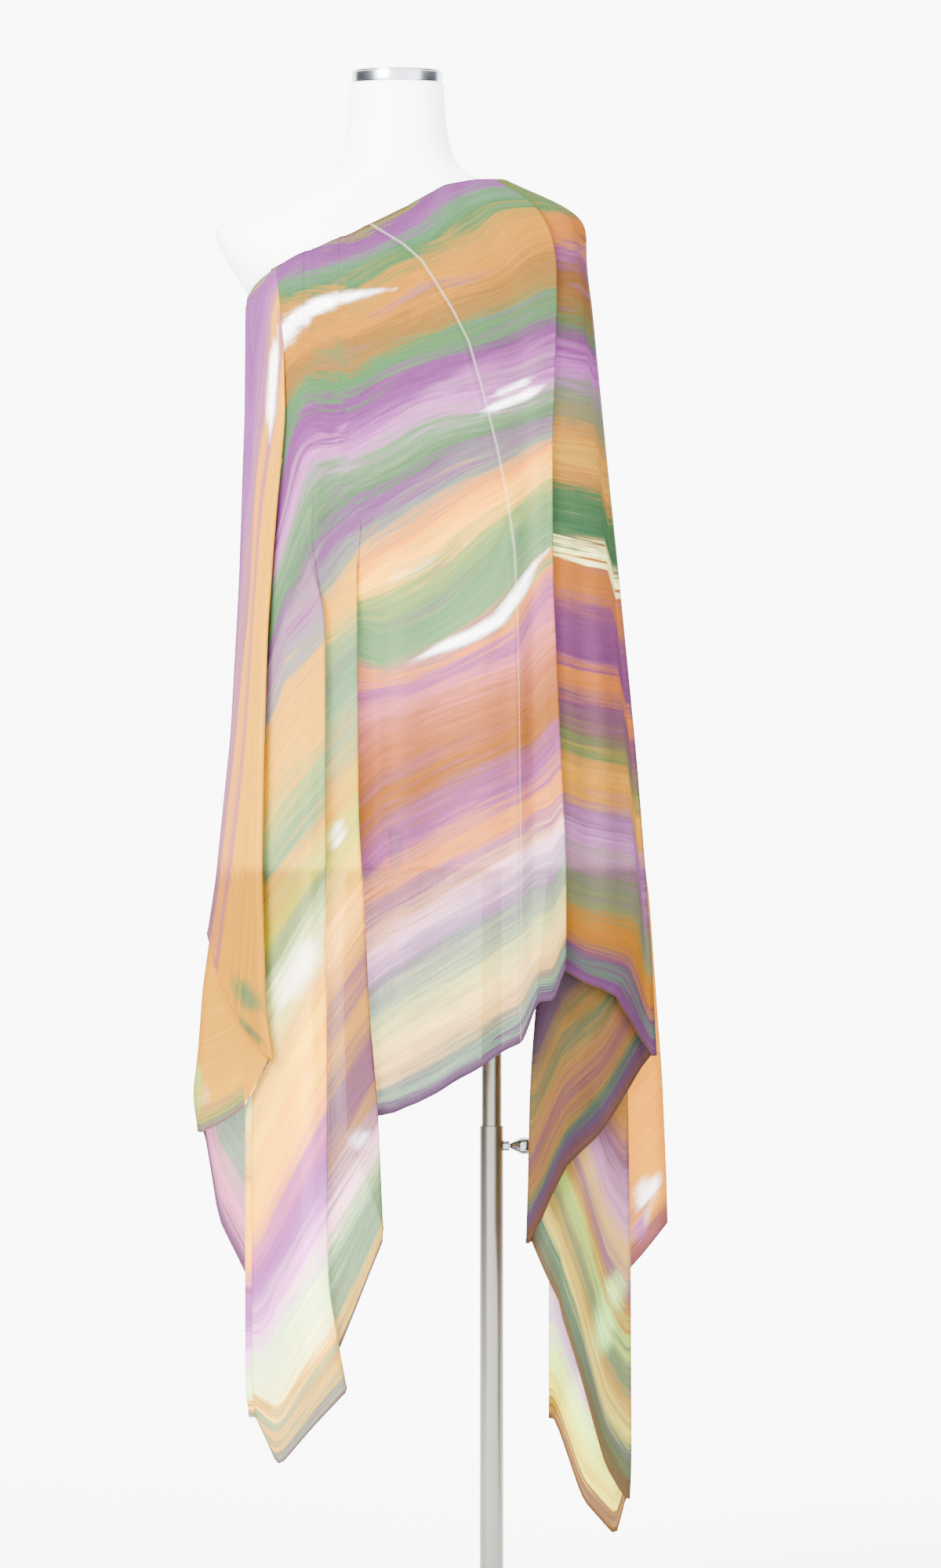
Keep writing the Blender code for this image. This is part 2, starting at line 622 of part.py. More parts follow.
def cloth_wall(name, lines, rows, crowding, finish):
    """One stretch of the cloth: its grid of points, given a wall to both sides."""
    grid = cloth_grid(lines, rows, crowding)
    normals = grid_normals(grid)
    bm = bmesh.new()
    sides = []
    for sense in (0.5, -0.5):
        sides.append([[bm.verts.new(to_scene(*(point + normal * WALL * sense)))
                       for point, normal in zip(column, facing)]
                      for column, facing in zip(grid, normals)])
    width, height = len(grid), len(grid[0])
    for skin in sides:
        for i in range(width - 1):
            for j in range(height - 1):
                bm.faces.new((skin[i][j], skin[i + 1][j], skin[i + 1][j + 1], skin[i][j + 1]))
    rim = [(i, 0) for i in range(width)]
    rim += [(width - 1, j) for j in range(1, height)]
    rim += [(i, height - 1) for i in range(width - 2, -1, -1)]
    rim += [(0, j) for j in range(height - 2, 0, -1)]
    for (a, b), (c, d) in zip(rim, rim[1:] + rim[:1]):
        bm.faces.new((sides[0][a][b], sides[0][c][d], sides[1][c][d], sides[1][a][b]))
    return add_object(name, bm, finish, 60)


def build_scarf():
    dye = {
        "front_panel": (0.62, 0.42, 0.38),
        "side_fall": (0.86, 0.55, 0.24),
        "under_fall": (0.80, 0.60, 0.38),
        "shoulder_fall": (0.48, 0.32, 0.42),
        "right_tail": (0.42, 0.52, 0.34),
        "back_fall": (0.85, 0.52, 0.22),
    }
    stretches = {
        "front_panel": (FRONT_PANEL, 22, 1.45),
        "side_fall": (SIDE_FALL, 14, 1.1),
        "under_fall": (UNDER_FALL, 16, 1.0),
        "shoulder_fall": (SHOULDER_FALL, 22, 1.45),
        "right_tail": (RIGHT_TAIL, 22, 1.2),
        "back_fall": (BACK_FALL, 22, 1.2),
    }
    for name, (lines, rows, crowding) in stretches.items():
        cloth_wall(name, lines, rows, crowding, material(name + "_voile", dye[name], 0.85))


def build():
    for old in list(bpy.data.objects):
        bpy.data.objects.remove(old, do_unlink=True)
    cover = material("form_jersey_cover", (0.86, 0.85, 0.84), 0.8)
    steel = material("brushed_stainless_steel", (0.62, 0.58, 0.54), 0.32, 1.0)
    chrome = material("polished_chrome", (0.80, 0.80, 0.82), 0.08, 1.0)
    build_form(cover)
    build_neck_cap(chrome)
    build_stand(steel, chrome)
    build_scarf()


build()
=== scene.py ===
import math
from functools import partial

import bmesh
import bpy
import numpy as np
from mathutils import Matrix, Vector


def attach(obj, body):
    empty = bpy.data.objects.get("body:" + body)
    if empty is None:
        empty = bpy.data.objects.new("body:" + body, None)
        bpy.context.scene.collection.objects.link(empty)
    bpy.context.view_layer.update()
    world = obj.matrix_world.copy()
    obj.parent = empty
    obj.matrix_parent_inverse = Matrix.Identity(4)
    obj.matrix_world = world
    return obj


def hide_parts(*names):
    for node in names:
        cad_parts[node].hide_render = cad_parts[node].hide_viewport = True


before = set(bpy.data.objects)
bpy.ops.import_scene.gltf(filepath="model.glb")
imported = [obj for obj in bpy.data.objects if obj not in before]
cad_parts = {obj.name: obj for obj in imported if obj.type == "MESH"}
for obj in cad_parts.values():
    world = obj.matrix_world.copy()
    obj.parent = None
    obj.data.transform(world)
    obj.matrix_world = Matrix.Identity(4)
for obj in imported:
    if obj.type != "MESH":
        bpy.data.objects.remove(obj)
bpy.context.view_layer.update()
print("frame loaded")

# sizes are in millimetres; the form and the cloth are placed from the form's centre seam, left of the pole
formOffset = -103.0
mm = 0.001


# small tools
# sRGB hex to the linear values that shaders take
def colour(text):
    parts = [int(text[i:i + 2], 16) / 255.0 for i in (1, 3, 5)]
    return tuple(c / 12.92 if c <= 0.04045 else ((c + 0.055) / 1.055) ** 2.4 for c in parts) + (1.0,)


def smoothStep(value, start, stop):
    share = np.clip((value - start) / (stop - start), 0.0, 1.0)
    return share * share * (3.0 - 2.0 * share)


# a Gaussian blur that keeps both ends where they are
def blurred(values, sigma):
    reach = int(3 * sigma)
    kernel = np.exp(-0.5 * (np.arange(-reach, reach + 1) / sigma) ** 2)
    head = 2 * values[0] - values[1:reach + 1][::-1]
    tail = 2 * values[-1] - values[-reach - 1:-1][::-1]
    return np.convolve(np.concatenate([head, values, tail]), kernel / kernel.sum(), "valid")


# a function through a table, with its corners rounded over sigma millimetres
def smoothTable(keys, values, sigma):
    dense = np.arange(keys[0], keys[-1] + 1.0)
    curve = blurred(np.interp(dense, keys, values), sigma)
    return lambda at: np.interp(at, dense, curve)


def toScene(points):
    return (np.array(points, dtype=float) + (formOffset, 0.0, 0.0)) * mm


def addMesh(name, points, faces, finish):
    mesh = bpy.data.meshes.new(name)
    mesh.from_pydata([tuple(p) for p in toScene(points)], [], faces)
    mesh.materials.append(finish)
    mesh.shade_smooth()
    made = bpy.data.objects.new(name, mesh)
    bpy.context.scene.collection.objects.link(made)
    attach(made, "form")
    return made


def turnOutwards(mesh):
    bm = bmesh.new()
    bm.from_mesh(mesh)
    bmesh.ops.recalc_face_normals(bm, faces=bm.faces)
    bm.to_mesh(mesh)
    bm.free()


def gridFaces(columns, rows, closed=False):
    faces = []
    for i in range(columns if closed else columns - 1):
        a, b = i * rows, (i + 1) % columns * rows
        faces += [(a + j, b + j, b + j + 1, a + j + 1) for j in range(rows - 1)]
    return faces


cordSides = 6


# one list of points and faces for round cords along paths, each (points, closed)
def sweptCords(paths, radius):
    points, faces, base, sides = [], [], 0, cordSides
    for path, closed in paths:
        count = len(path)
        tangents = np.roll(path, -1, 0) - np.roll(path, 1, 0) if closed else np.gradient(path, axis=0)
        tangents /= np.linalg.norm(tangents, axis=1)[:, None] + 1e-9
        side = np.cross(tangents, (0.0, 0.0, 1.0))
        upright = np.linalg.norm(side, axis=1) < 0.2
        side[upright] = np.cross(tangents[upright], (1.0, 0.0, 0.0))
        side /= np.linalg.norm(side, axis=1)[:, None] + 1e-9
        up = np.cross(side, tangents)
        angles = np.linspace(0, 2 * np.pi, sides, endpoint=False)
        rings = [path + (side * math.cos(a) + up * math.sin(a)) * radius for a in angles]
        points.append(np.stack(rings, axis=1).reshape(-1, 3))
        for i in range(count if closed else count - 1):
            a, b = base + i * sides, base + (i + 1) % count * sides
            for s in range(sides):
                t = (s + 1) % sides
                faces.append((a + t, b + t, b + s, a + s))
        if not closed:
            faces.append(tuple(base + s for s in range(sides)))
            faces.append(tuple(base + count * sides - 1 - s for s in range(sides)))
        base += count * sides
    return np.concatenate(points), faces


# materials
# gives a node's inputs, in order or by name, their values or their links from other nodes
def setInputs(node, inputs):
    for socket, value in inputs.items() if isinstance(inputs, dict) else enumerate(inputs):
        if isinstance(value, bpy.types.NodeSocket):
            node.id_data.links.new(value, node.inputs[socket])
        else:
            node.inputs[socket].default_value = value


# adds one node with its settings and inputs, and returns one of its outputs
def addNode(tree, kind, inputs=(), output=0, **settings):
    node = tree.nodes.new("ShaderNode" + kind)
    for key, value in settings.items():
        setattr(node, key, value)
    setInputs(node, inputs)
    return node.outputs[output]


def startMaterial(name, inputs):
    material = bpy.data.materials.new(name)
    material.use_nodes = True
    shader = material.node_tree.nodes["Principled BSDF"]
    setInputs(shader, inputs)
    return material, shader, partial(addNode, material.node_tree)


def perMetre(size):
    return 1.0 / (size * mm)


# Stainless steel and chrome plate. Brushing leaves fine rings that spread a light upwards and downwards,
# a satin finish blurs it evenly, and polished chrome mirrors the room. The grain is (x, y, z) in millimetres,
# several times as coarse as the real one so that it shows.
def metal(name, shade, roughness, grain=None):
    material, shader, add = startMaterial(
        name, {"Base Color": colour(shade), "Metallic": 1.0, "Roughness": roughness})
    if grain:
        place = add("TexCoord", output="Object")
        place = add("Mapping", {"Vector": place, "Scale": [perMetre(size) for size in grain]})
        marks = add("TexNoise", {"Vector": place, "Scale": 1.0, "Detail": 4.0})
        wearAndPaintedHighlight = add("MapRange", [marks, 0.3, 0.7, roughness - 0.04, roughness + 0.05],
                   interpolation_type="SMOOTHSTEP")
        relief = add("Bump", {"Height": marks, "Distance": 0.02 * mm, "Strength": 0.3})
        setInputs(shader, {"Roughness": wearAndPaintedHighlight, "Normal": relief})
    return material


# Cotton jersey, knitted and pulled tight over the form: matt white, a soft bloom at its edges, and courses
# that are drawn 1.2 mm high, twice the real height, so that they show.
knit = {"whites": ("#D9D6D4", "#E0DEDC"), "roughness": 0.72, "bloom": 0.15, "course": 1.2083, "cloud": 111.1}


def jerseyCover(name):
    material, shader, add = startMaterial(
        name, {"Roughness": knit["roughness"], "Sheen Weight": knit["bloom"]})
    place = add("TexCoord", output="Object")
    waveStep = math.tau / 20.0  # the wave texture repeats at this distance when its scale is 1
    courses = add("TexWave", {
        "Vector": place, "Scale": waveStep * perMetre(knit["course"]), "Distortion": 0.4},
        wave_type="BANDS", bands_direction="Z")
    cloud = add("TexNoise", {"Vector": place, "Scale": perMetre(knit["cloud"]), "Detail": 3.0})
    darker, paler = (colour(shade) for shade in knit["whites"])
    setInputs(shader, {
        "Base Color": add("Mix", {0: cloud, 6: darker, 7: paler}, 2, data_type="RGBA"),
        "Normal": add("Bump", {"Height": courses, "Distance": 0.08 * mm, "Strength": 0.35})})
    return material


# the crease colour and its share paint a highlight along the pressed crease, and the crease shade paints a
# shade beside it
voile = {
    "clothWidth": 900.0, "roughness": 0.82, "gloss": 0.05, "wander": 0.024, "feather": 0.075, "fine": 0.042,
    "streakShift": 0.03, "streakShare": 0.55, "mauve": "#5B2E54", "mauveShare": 0.35, "stainAndHighlightShare": 0.92,
    "paintedCreaseHighlight": "#E6DCCB", "paintedCreaseHighlightShare": 0.16, "creaseShade": 0.10, "threadTone": (0.88, 1.10),
    "strokeTone": (0.78, 1.20), "crumpleHeight": 26.0, "threadHeight": 0.12, "glow": (0.25, 0.55),
}
# size along the bands and across them in millimetres, shift in seeds, own shift, detail and roughness; the
# threads (slub and weft) are drawn about 0.7 mm apart, more than twice the real 0.3 mm, so that they show
voilePatterns = {
    "wander": (333.3, 166.7, (1.0, 0.7), (0.0, 0.0), 2.0, 0.5),
    "feather": (166.7, 9.524, (1.0, 0.0), (0.0, 0.0), 5.0, 0.68),
    "fine": (100.0, 2.778, (0.0, 0.0), (0.0, 0.0), 3.0, 0.6),
    "streak": (312.5, 29.41, (1.0, 0.0), (4.0, 2.0), 3.0, 0.55),
    "mauve": (250.0, 22.73, (1.0, 0.0), (9.0, 5.0), 3.0, 0.55),
    "torn": (90.91, 7.692, (1.0, 0.0), (0.0, 3.0), 4.0, 0.65),
    "slub": (45.45, 0.6667, (0.0, 0.0), (0.0, 0.0), 2.0, 0.5),
    "weft": (0.7692, 38.46, (0.0, 0.0), (0.0, 0.0), 2.0, 0.5),
    "strokes": (66.67, 3.03, (0.0, 1.0), (0.0, 0.0), 5.0, 0.75),
    "crumple": (38.46, 71.43, (0.0, 0.0), (0.0, 0.0), 3.0, 0.55),
}


# Cotton voile, woven thin and dyed by hand: matt, with bands that bleed along the cloth, slubs, pressed
# creases drawn as a painted highlight with a painted shade beside it, and light that comes through it
# wherever nothing lies behind.
def dyedVoile(name, upper, lower, sheer, seed, streakiness=1.0):
    material, shader, add = startMaterial(
        name, {"Roughness": voile["roughness"], "Specular IOR Level": voile["gloss"]})
    smooth = {"interpolation_type": "SMOOTHSTEP"}
    asColour = {"output": 2, "data_type": "RGBA"}
    low, high = 0.3, 0.7  # a noise mostly stays between these

    cloth = add("UVMap", uv_map="Cloth")
    across = add("Attribute", output="Fac", attribute_name="dye")
    hem = add("Attribute", output="Fac", attribute_name="hem")
    loose = add("Attribute", output="Fac", attribute_name="loose")
    crease = add("Attribute", output="Fac", attribute_name="crease")
    stainAndHighlight = add("Attribute", output="Color", attribute_name="stainAndHighlight")
    stainAndHighlightStrength = stainAndHighlight.node.outputs["Alpha"]
    bands = add("CombineXYZ", [add("SeparateXYZ", [cloth]),
                               add("Math", [across, voile["clothWidth"] * mm], operation="MULTIPLY")])
    noise = {}
    for pattern, (along, over, seeds, shift, detail, roughness) in voilePatterns.items():
        place = add("Mapping", {
            "Vector": cloth if pattern == "crumple" else bands,
            "Location": (shift[0] + seed * seeds[0], shift[1] + seed * seeds[1], 0.0),
            "Scale": (perMetre(along), perMetre(over), 1.0)})
        noise[pattern] = add("TexNoise", {
            "Vector": place, "Scale": 1.0, "Detail": detail, "Roughness": roughness})

    # the bands wander and feather into each other along the length, and less so at the hem
    moved = across
    for pattern, share in (("wander", streakiness), ("feather", streakiness), ("fine", 1.0)):
        swing = add("Math", [noise[pattern], 0.5], operation="SUBTRACT")
        moved = add("Math", [swing, voile[pattern] * share, moved], operation="MULTIPLY_ADD")
    place = add("Mix", {0: add("Math", [hem, 0.85], operation="MULTIPLY"), 2: moved, 3: across})

    # one ramp, or two that meet, as a ramp holds 32 colours at most
    def banded(at):
        shades = []
        for stops in (upper, lower):
            if stops:
                shades.append(add("ValToRGB", [at]))
                elements = shades[-1].node.color_ramp.elements
                elements[0].position, elements[0].color = stops[0][0], colour(stops[0][1])
                elements[1].position, elements[1].color = stops[-1][0], colour(stops[-1][1])
                for stop, shade in stops[1:-1]:
                    elements.new(stop).color = colour(shade)
        if upper:
            change = add("MapRange", [at, upper[-1][0] - 0.01, upper[-1][0] + 0.01], **smooth)
            shades.append(add("Mix", {0: change, 6: shades[0], 7: shades[1]}, **asColour))
        return shades[-1]

    # lens-shaped streaks of the neighbouring colours and of mauve
    streak = add("MapRange", [noise["streak"], 0.53, 0.68, 0.0, voile["streakShare"]], **smooth)
    shifted = banded(add("Math", [place, voile["streakShift"]], operation="ADD"))
    dye = add("Mix", {0: streak, 6: banded(place), 7: shifted}, **asColour)
    mauve = add("MapRange", [noise["mauve"], 0.60, 0.72, 0.0, voile["mauveShare"] * streakiness], **smooth)
    dye = add("Mix", {0: mauve, 6: dye, 7: colour(voile["mauve"])}, **asColour)

    # undyed streaks and patches, and painted highlights on the side fall, torn along the bands
    reach = add("Math", [add("Math", [stainAndHighlightStrength, 3.0], operation="MULTIPLY"), 1.4], operation="MINIMUM")
    torn = add("Math", [noise["torn"], 0.5], operation="SUBTRACT")
    ragged = add("Math", [torn, reach, stainAndHighlightStrength], operation="MULTIPLY_ADD")
    stainAndHighlightMix = add("MapRange", [ragged, 0.10, 0.95, 0.0, voile["stainAndHighlightShare"]], **smooth)
    dye = add("Mix", {0: stainAndHighlightMix, 6: dye, 7: stainAndHighlight}, **asColour)

    # a pressed crease: a slim pale line of painted highlight along its ridge, with a faint painted shade
    # beside it
    fromLine = add("Math", [crease], operation="ABSOLUTE")
    wearAndPaintedHighlight = add("MapRange", [fromLine, 0.3, 1.9, voile["paintedCreaseHighlightShare"], 0.0], **smooth)
    dye = add("Mix", {0: wearAndPaintedHighlight, 6: dye, 7: colour(voile["paintedCreaseHighlight"])}, **asColour)
    fromShade = add("Math", [add("Math", [crease, 4.2], operation="ADD")], operation="ABSOLUTE")
    tone = add("MapRange", [fromShade, 1.0, 3.2, 1.0 - voile["creaseShade"], 1.0], **smooth)

    # the threads themselves
    thread = add("Mix", {0: 0.4, 2: noise["slub"], 3: noise["weft"]})
    for pattern, tones in ((thread, voile["threadTone"]), (noise["strokes"], voile["strokeTone"])):
        toned = add("MapRange", [pattern, low, high, *tones])
        tone = add("Math", [tone, toned], operation="MULTIPLY")
    dye = add("VectorMath", {0: dye, "Scale": tone}, operation="SCALE")
    height = add("Math", [noise["crumple"], voile["crumpleHeight"], thread], operation="MULTIPLY_ADD")
    relief = add("Bump", {"Height": height, "Distance": voile["threadHeight"] * mm, "Strength": 0.6})
    setInputs(shader, {"Base Color": dye, "Normal": relief})

    # light through the cloth, and between its threads
    white = colour("#FFFFFF")
    glow = add("BsdfTranslucent", [add("Mix", {0: 0.97, 6: white, 7: dye}, **asColour)])
    lit = add("MixShader", [add("MapRange", [loose, 0.0, 1.0, *voile["glow"]]), shader.outputs[0], glow])
    clear = add("BsdfTransparent", [add("Mix", {0: 0.6, 6: white, 7: dye}, **asColour)])
    holes = add("Math", [add("MapRange", [thread, 0.35, 0.65, sheer * 0.6, sheer * 1.4]),
                         add("MapRange", [noise["strokes"], low, high, 0.65, 1.3])], operation="MULTIPLY")
    unhemmed = add("Math", [hem, -0.8, 1.0], operation="MULTIPLY_ADD")
    seenThrough = add("Math", [loose, unhemmed], operation="MULTIPLY")
    seenThrough = add("Math", [seenThrough, holes], operation="MULTIPLY")
    surface = add("MixShader", [seenThrough, lit, clear])
    setInputs(material.node_tree.nodes["Material Output"], [surface])
    return material


jersey = jerseyCover("form_jersey")
steel = metal("stand_brushed_stainless", "#61605A", 0.34, (11.11, 11.11, 0.1852))
satin = metal("plate_satin_stainless", "#716F68", 0.36, (0.9259, 0.9259, 0.9259))
chrome = metal("trim_polished_chrome", "#74787E", 0.12)
capChrome = metal("cap_polished_chrome", "#9BA1AA", 0.24)
print("materials ready")

# the dress form: height, half width, front depth, back depth, roundness
formRings = [
    (842, 140, 92, 98, 2.4), (870, 147, 97, 104, 2.4), (905, 154, 101, 109, 2.4), (960, 158, 104, 112, 2.4),
    (1010, 155, 102, 110, 2.4), (1070, 140, 93, 98, 2.3), (1130, 121, 83, 84, 2.3),
    (1188, 111, 79, 74, 2.3), (1240, 116, 86, 75, 2.3), (1300, 128, 101, 81, 2.3),
    (1350, 136, 116, 86, 2.3), (1385, 141, 121, 89, 2.3), (1420, 148, 114, 91, 2.3),
    (1455, 156, 99, 92, 2.4), (1478, 170, 91, 89, 2.4), (1503, 186, 83, 85, 2.5), (1528, 199, 73, 76, 2.5),
    (1545, 197, 66, 70, 2.5), (1557, 171, 63, 67, 2.4), (1570, 140, 60, 63, 2.4), (1585, 105, 58, 59, 2.3),
    (1599, 74, 56, 57, 2.2), (1612, 63, 55, 56, 2.1), (1632, 57, 52, 54, 2), (1660, 53, 50, 52, 2),
    (1697, 51, 49, 51, 2),
]
form = {
    "neckTop": 1697.0, "thighCut": 842.0, "around": 168, "levels": 190, "sharp": 50.0, "seamRadius": 0.55,
    "spineDepth": 4.0, "spineWidth": 15.0, "cleftDepth": 9.0, "cleftWidth": 9.0, "loinDepth": 3.0,
    "loinWidth": 38.0, "loinMiddle": 1250.0, "loinTall": 120.0, "socketRadius": 11.9, "socketTop": 957.3,
    "neckline": 1611.0, "necklineFront": 1584.0, "necklineBack": 1597.0, "necklineHalf": 61.5,
    "armMiddle": 1499.0, "armTall": 47.0, "armDeep": 60.0,
}
ringKeys, *ringSizes = zip(*formRings)
formHalf, formFront, formBack, formPower = (smoothTable(ringKeys, sizes, 7.0) for sizes in ringSizes)


# a point of the form's skin; angle 0 is its left side, 90 degrees its back
def formPoint(angle, z):
    across, back = np.cos(angle), np.sin(angle)
    power = formPower(z)
    reach = (np.abs(across) ** power + np.abs(back) ** power) ** (-1.0 / power)
    x = formHalf(z) * across * reach
    y = np.where(back > 0.0, formBack(z), formFront(z)) * back * reach
    spine = form["spineDepth"] * np.exp(-(x / form["spineWidth"]) ** 2)
    spine *= smoothStep(z, 1010, 1120) * (1 - smoothStep(z, 1420, 1560))
    cleft = form["cleftDepth"] * np.exp(-(x / form["cleftWidth"]) ** 2) * (1 - smoothStep(z, 930, 1000))
    loin = form["loinDepth"] * np.exp(-((np.abs(x) - 5.0) / form["loinWidth"]) ** 2)
    loin *= np.exp(-((z - form["loinMiddle"]) / form["loinTall"]) ** 2)
    y -= smoothStep(back, 0.2, 0.7) * (spine + cleft + loin)
    return np.stack([x, y, np.broadcast_to(z, np.shape(x))], axis=-1)


def buildForm():
    around, levels = form["around"], form["levels"]
    angles = np.linspace(0, 2 * np.pi, around, endpoint=False)
    heights = np.linspace(form["thighCut"], form["neckTop"], levels)
    points = formPoint(*np.meshgrid(angles, heights, indexing="ij")).reshape(-1, 3)
    faces = gridFaces(around, levels, closed=True)
    faces.append(tuple(i * levels for i in reversed(range(around))))
    faces.append(tuple(i * levels + levels - 1 for i in range(around)))
    made = addMesh("form_torso", points, faces, jersey)

    # the gap between the thigh stubs, and the socket that the mast stands in
    wedge = [(-14, 830), (14, 830), (9, 878), (5, 886), (0, 889), (-5, 886), (-9, 878)]
    points = [(x, y, z) for y in (-150, 150) for x, z in wedge]
    sides = [(i, (i + 1) % 7, 7 + (i + 1) % 7, 7 + i) for i in range(7)]
    cleft = addMesh("cutter_crotch", points, sides + [tuple(range(7)), tuple(range(7, 14))], jersey)
    depth = 130.0
    bpy.ops.mesh.primitive_cylinder_add(vertices=48, radius=form["socketRadius"] * mm, depth=depth * mm,
                                        location=(0, 0, (form["socketTop"] - depth / 2) * mm))
    bpy.context.view_layer.objects.active, socket = made, bpy.context.active_object
    for cutter in (cleft, socket):
        turnOutwards(cutter.data)
        modifier = made.modifiers.new(cutter.name, "BOOLEAN")
        modifier.operation, modifier.object = "DIFFERENCE", cutter
        bpy.ops.object.modifier_apply(modifier=modifier.name)
        bpy.data.objects.remove(cutter, do_unlink=True)
    made.data.shade_smooth()
    made.data.set_sharp_from_angle(angle=math.radians(form["sharp"]))
    return made


# the form's front or back skin over a point of the front view
def surfaceAt(x, z, back=False):
    power = formPower(z)
    rise = (1 - np.clip(np.abs(x) / formHalf(z), 0, 1) ** power) ** (1 / power)
    return formBack(z) * rise if back else -formFront(z) * rise


# thin raised seams: the centre front and back, both sides, the neck and the arm covers
def buildFormSeams():
    z = np.linspace(1583, 892, 160)
    middle = np.zeros_like(z)
    runs = [(np.stack([middle, surfaceAt(middle, z), z], -1), False)]
    for angle, top, foot, count in ((0.5, 1595, 892, 160), (0.0, 1440, 843, 130), (1.0, 1440, 843, 130)):
        z = np.linspace(top, foot, count)
        runs.append((formPoint(np.full_like(z, angle * math.pi), z), False))
    a = np.linspace(0, 2 * np.pi, 96, endpoint=False)
    lowest = np.where(np.sin(a) < 0, form["necklineFront"], form["necklineBack"])
    x, z = form["necklineHalf"] * np.cos(a), lowest + (form["neckline"] - lowest) * np.cos(a) ** 2
    y = np.where(np.sin(a) < 0, surfaceAt(x, z), surfaceAt(x, z, back=True))
    runs.append((np.stack([x, y, z], -1), True))
    y, z = form["armDeep"] * np.cos(a), form["armMiddle"] + form["armTall"] * np.sin(a)
    depth, power = np.where(y < 0, formFront(z), formBack(z)), formPower(z)
    x = formHalf(z) * (1 - np.clip(np.abs(y) / depth, 0, 1) ** power) ** (1 / power)
    runs += [(np.stack([side * x, y, z], -1), True) for side in (-1, 1)]
    return addMesh("form_seams", *sweptCords(runs, form["seamRadius"]), jersey)


formTorso = buildForm()
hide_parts("dress_form")
formSeams = buildFormSeams()
print("form built")


# turned steel and chrome; a profile holds (radius, height)
# a ring is drawn out along the axis, and resized at each place of its profile
def turned(name, profile, finish, body, sides=96, hollow=False, lyingAt=None, shift=0.0):
    bpy.ops.object.select_all(action="DESELECT")
    radius, height = profile[0]
    fill = "NOTHING" if hollow else "NGON"
    bpy.ops.mesh.primitive_circle_add(vertices=sides, radius=radius * mm, fill_type=fill)
    made = bpy.context.active_object
    bpy.ops.object.mode_set(mode="EDIT")
    bpy.ops.mesh.select_all(action="SELECT")
    bpy.ops.transform.translate(value=(0, 0, height * mm))
    for nextRadius, nextHeight in profile[1:] + (profile[:1] if hollow else []):
        bpy.ops.mesh.extrude_region_move(TRANSFORM_OT_translate={"value": (0, 0, (nextHeight - height) * mm)})
        share = nextRadius / radius
        bpy.ops.transform.resize(value=(share, share, 1.0), center_override=(0, 0, 0))
        radius, height = nextRadius, nextHeight
    bpy.ops.mesh.select_all(action="SELECT")
    bpy.ops.mesh.remove_doubles(threshold=0.01 * mm)
    if lyingAt:
        bpy.ops.transform.rotate(value=-math.pi / 2, orient_axis="Y", center_override=(0, 0, 0))
        bpy.ops.transform.translate(value=(0, 0, lyingAt * mm))
    bpy.ops.transform.translate(value=(shift * mm, 0, 0))
    bpy.ops.mesh.normals_make_consistent(inside=False)
    bpy.ops.object.mode_set(mode="OBJECT")
    made.name = made.data.name = name
    made.data.materials.append(finish)
    bpy.ops.object.shade_smooth_by_angle(angle=math.radians(32))
    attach(made, body)
    return made


# a profile with each inner corner rounded
def rounded(corners, radius, steps=4):
    out = [corners[0]]
    for before, here, after in zip(*(np.array(corners, dtype=float)[k:] for k in range(3))):
        into, away = np.linalg.norm(before - here), np.linalg.norm(after - here)
        reach = min(radius, 0.45 * into, 0.45 * away)
        start, stop = here + (before - here) / into * reach, here + (after - here) / away * reach
        for t in np.arange(steps + 1) / steps:
            out.append(tuple((1 - t) ** 2 * start + 2 * t * (1 - t) * here + t * t * stop))
    return out + [corners[-1]]


stand = {
    "plateRadius": 200.0, "plateHeight": 9.0, "plateEdge": 1.5, "flangeRadius": 30.0, "collarRadius": 17.4,
    "flangeTop": 17.3, "tubeRadius": 12.9, "tubeWall": 1.6, "tubeTop": 562.0, "mastRadius": 11.0,
    "mastWall": 1.4, "mastFoot": 250.0, "mastTop": 957.0, "clampHeight": 540.0, "bossRadius": 5.6,
    "knobRadius": 9.3, "knobEnd": 42.3, "capRadius": 49.4, "capTop": 1711.3, "capHeight": 14.0, "play": 0.3,
}


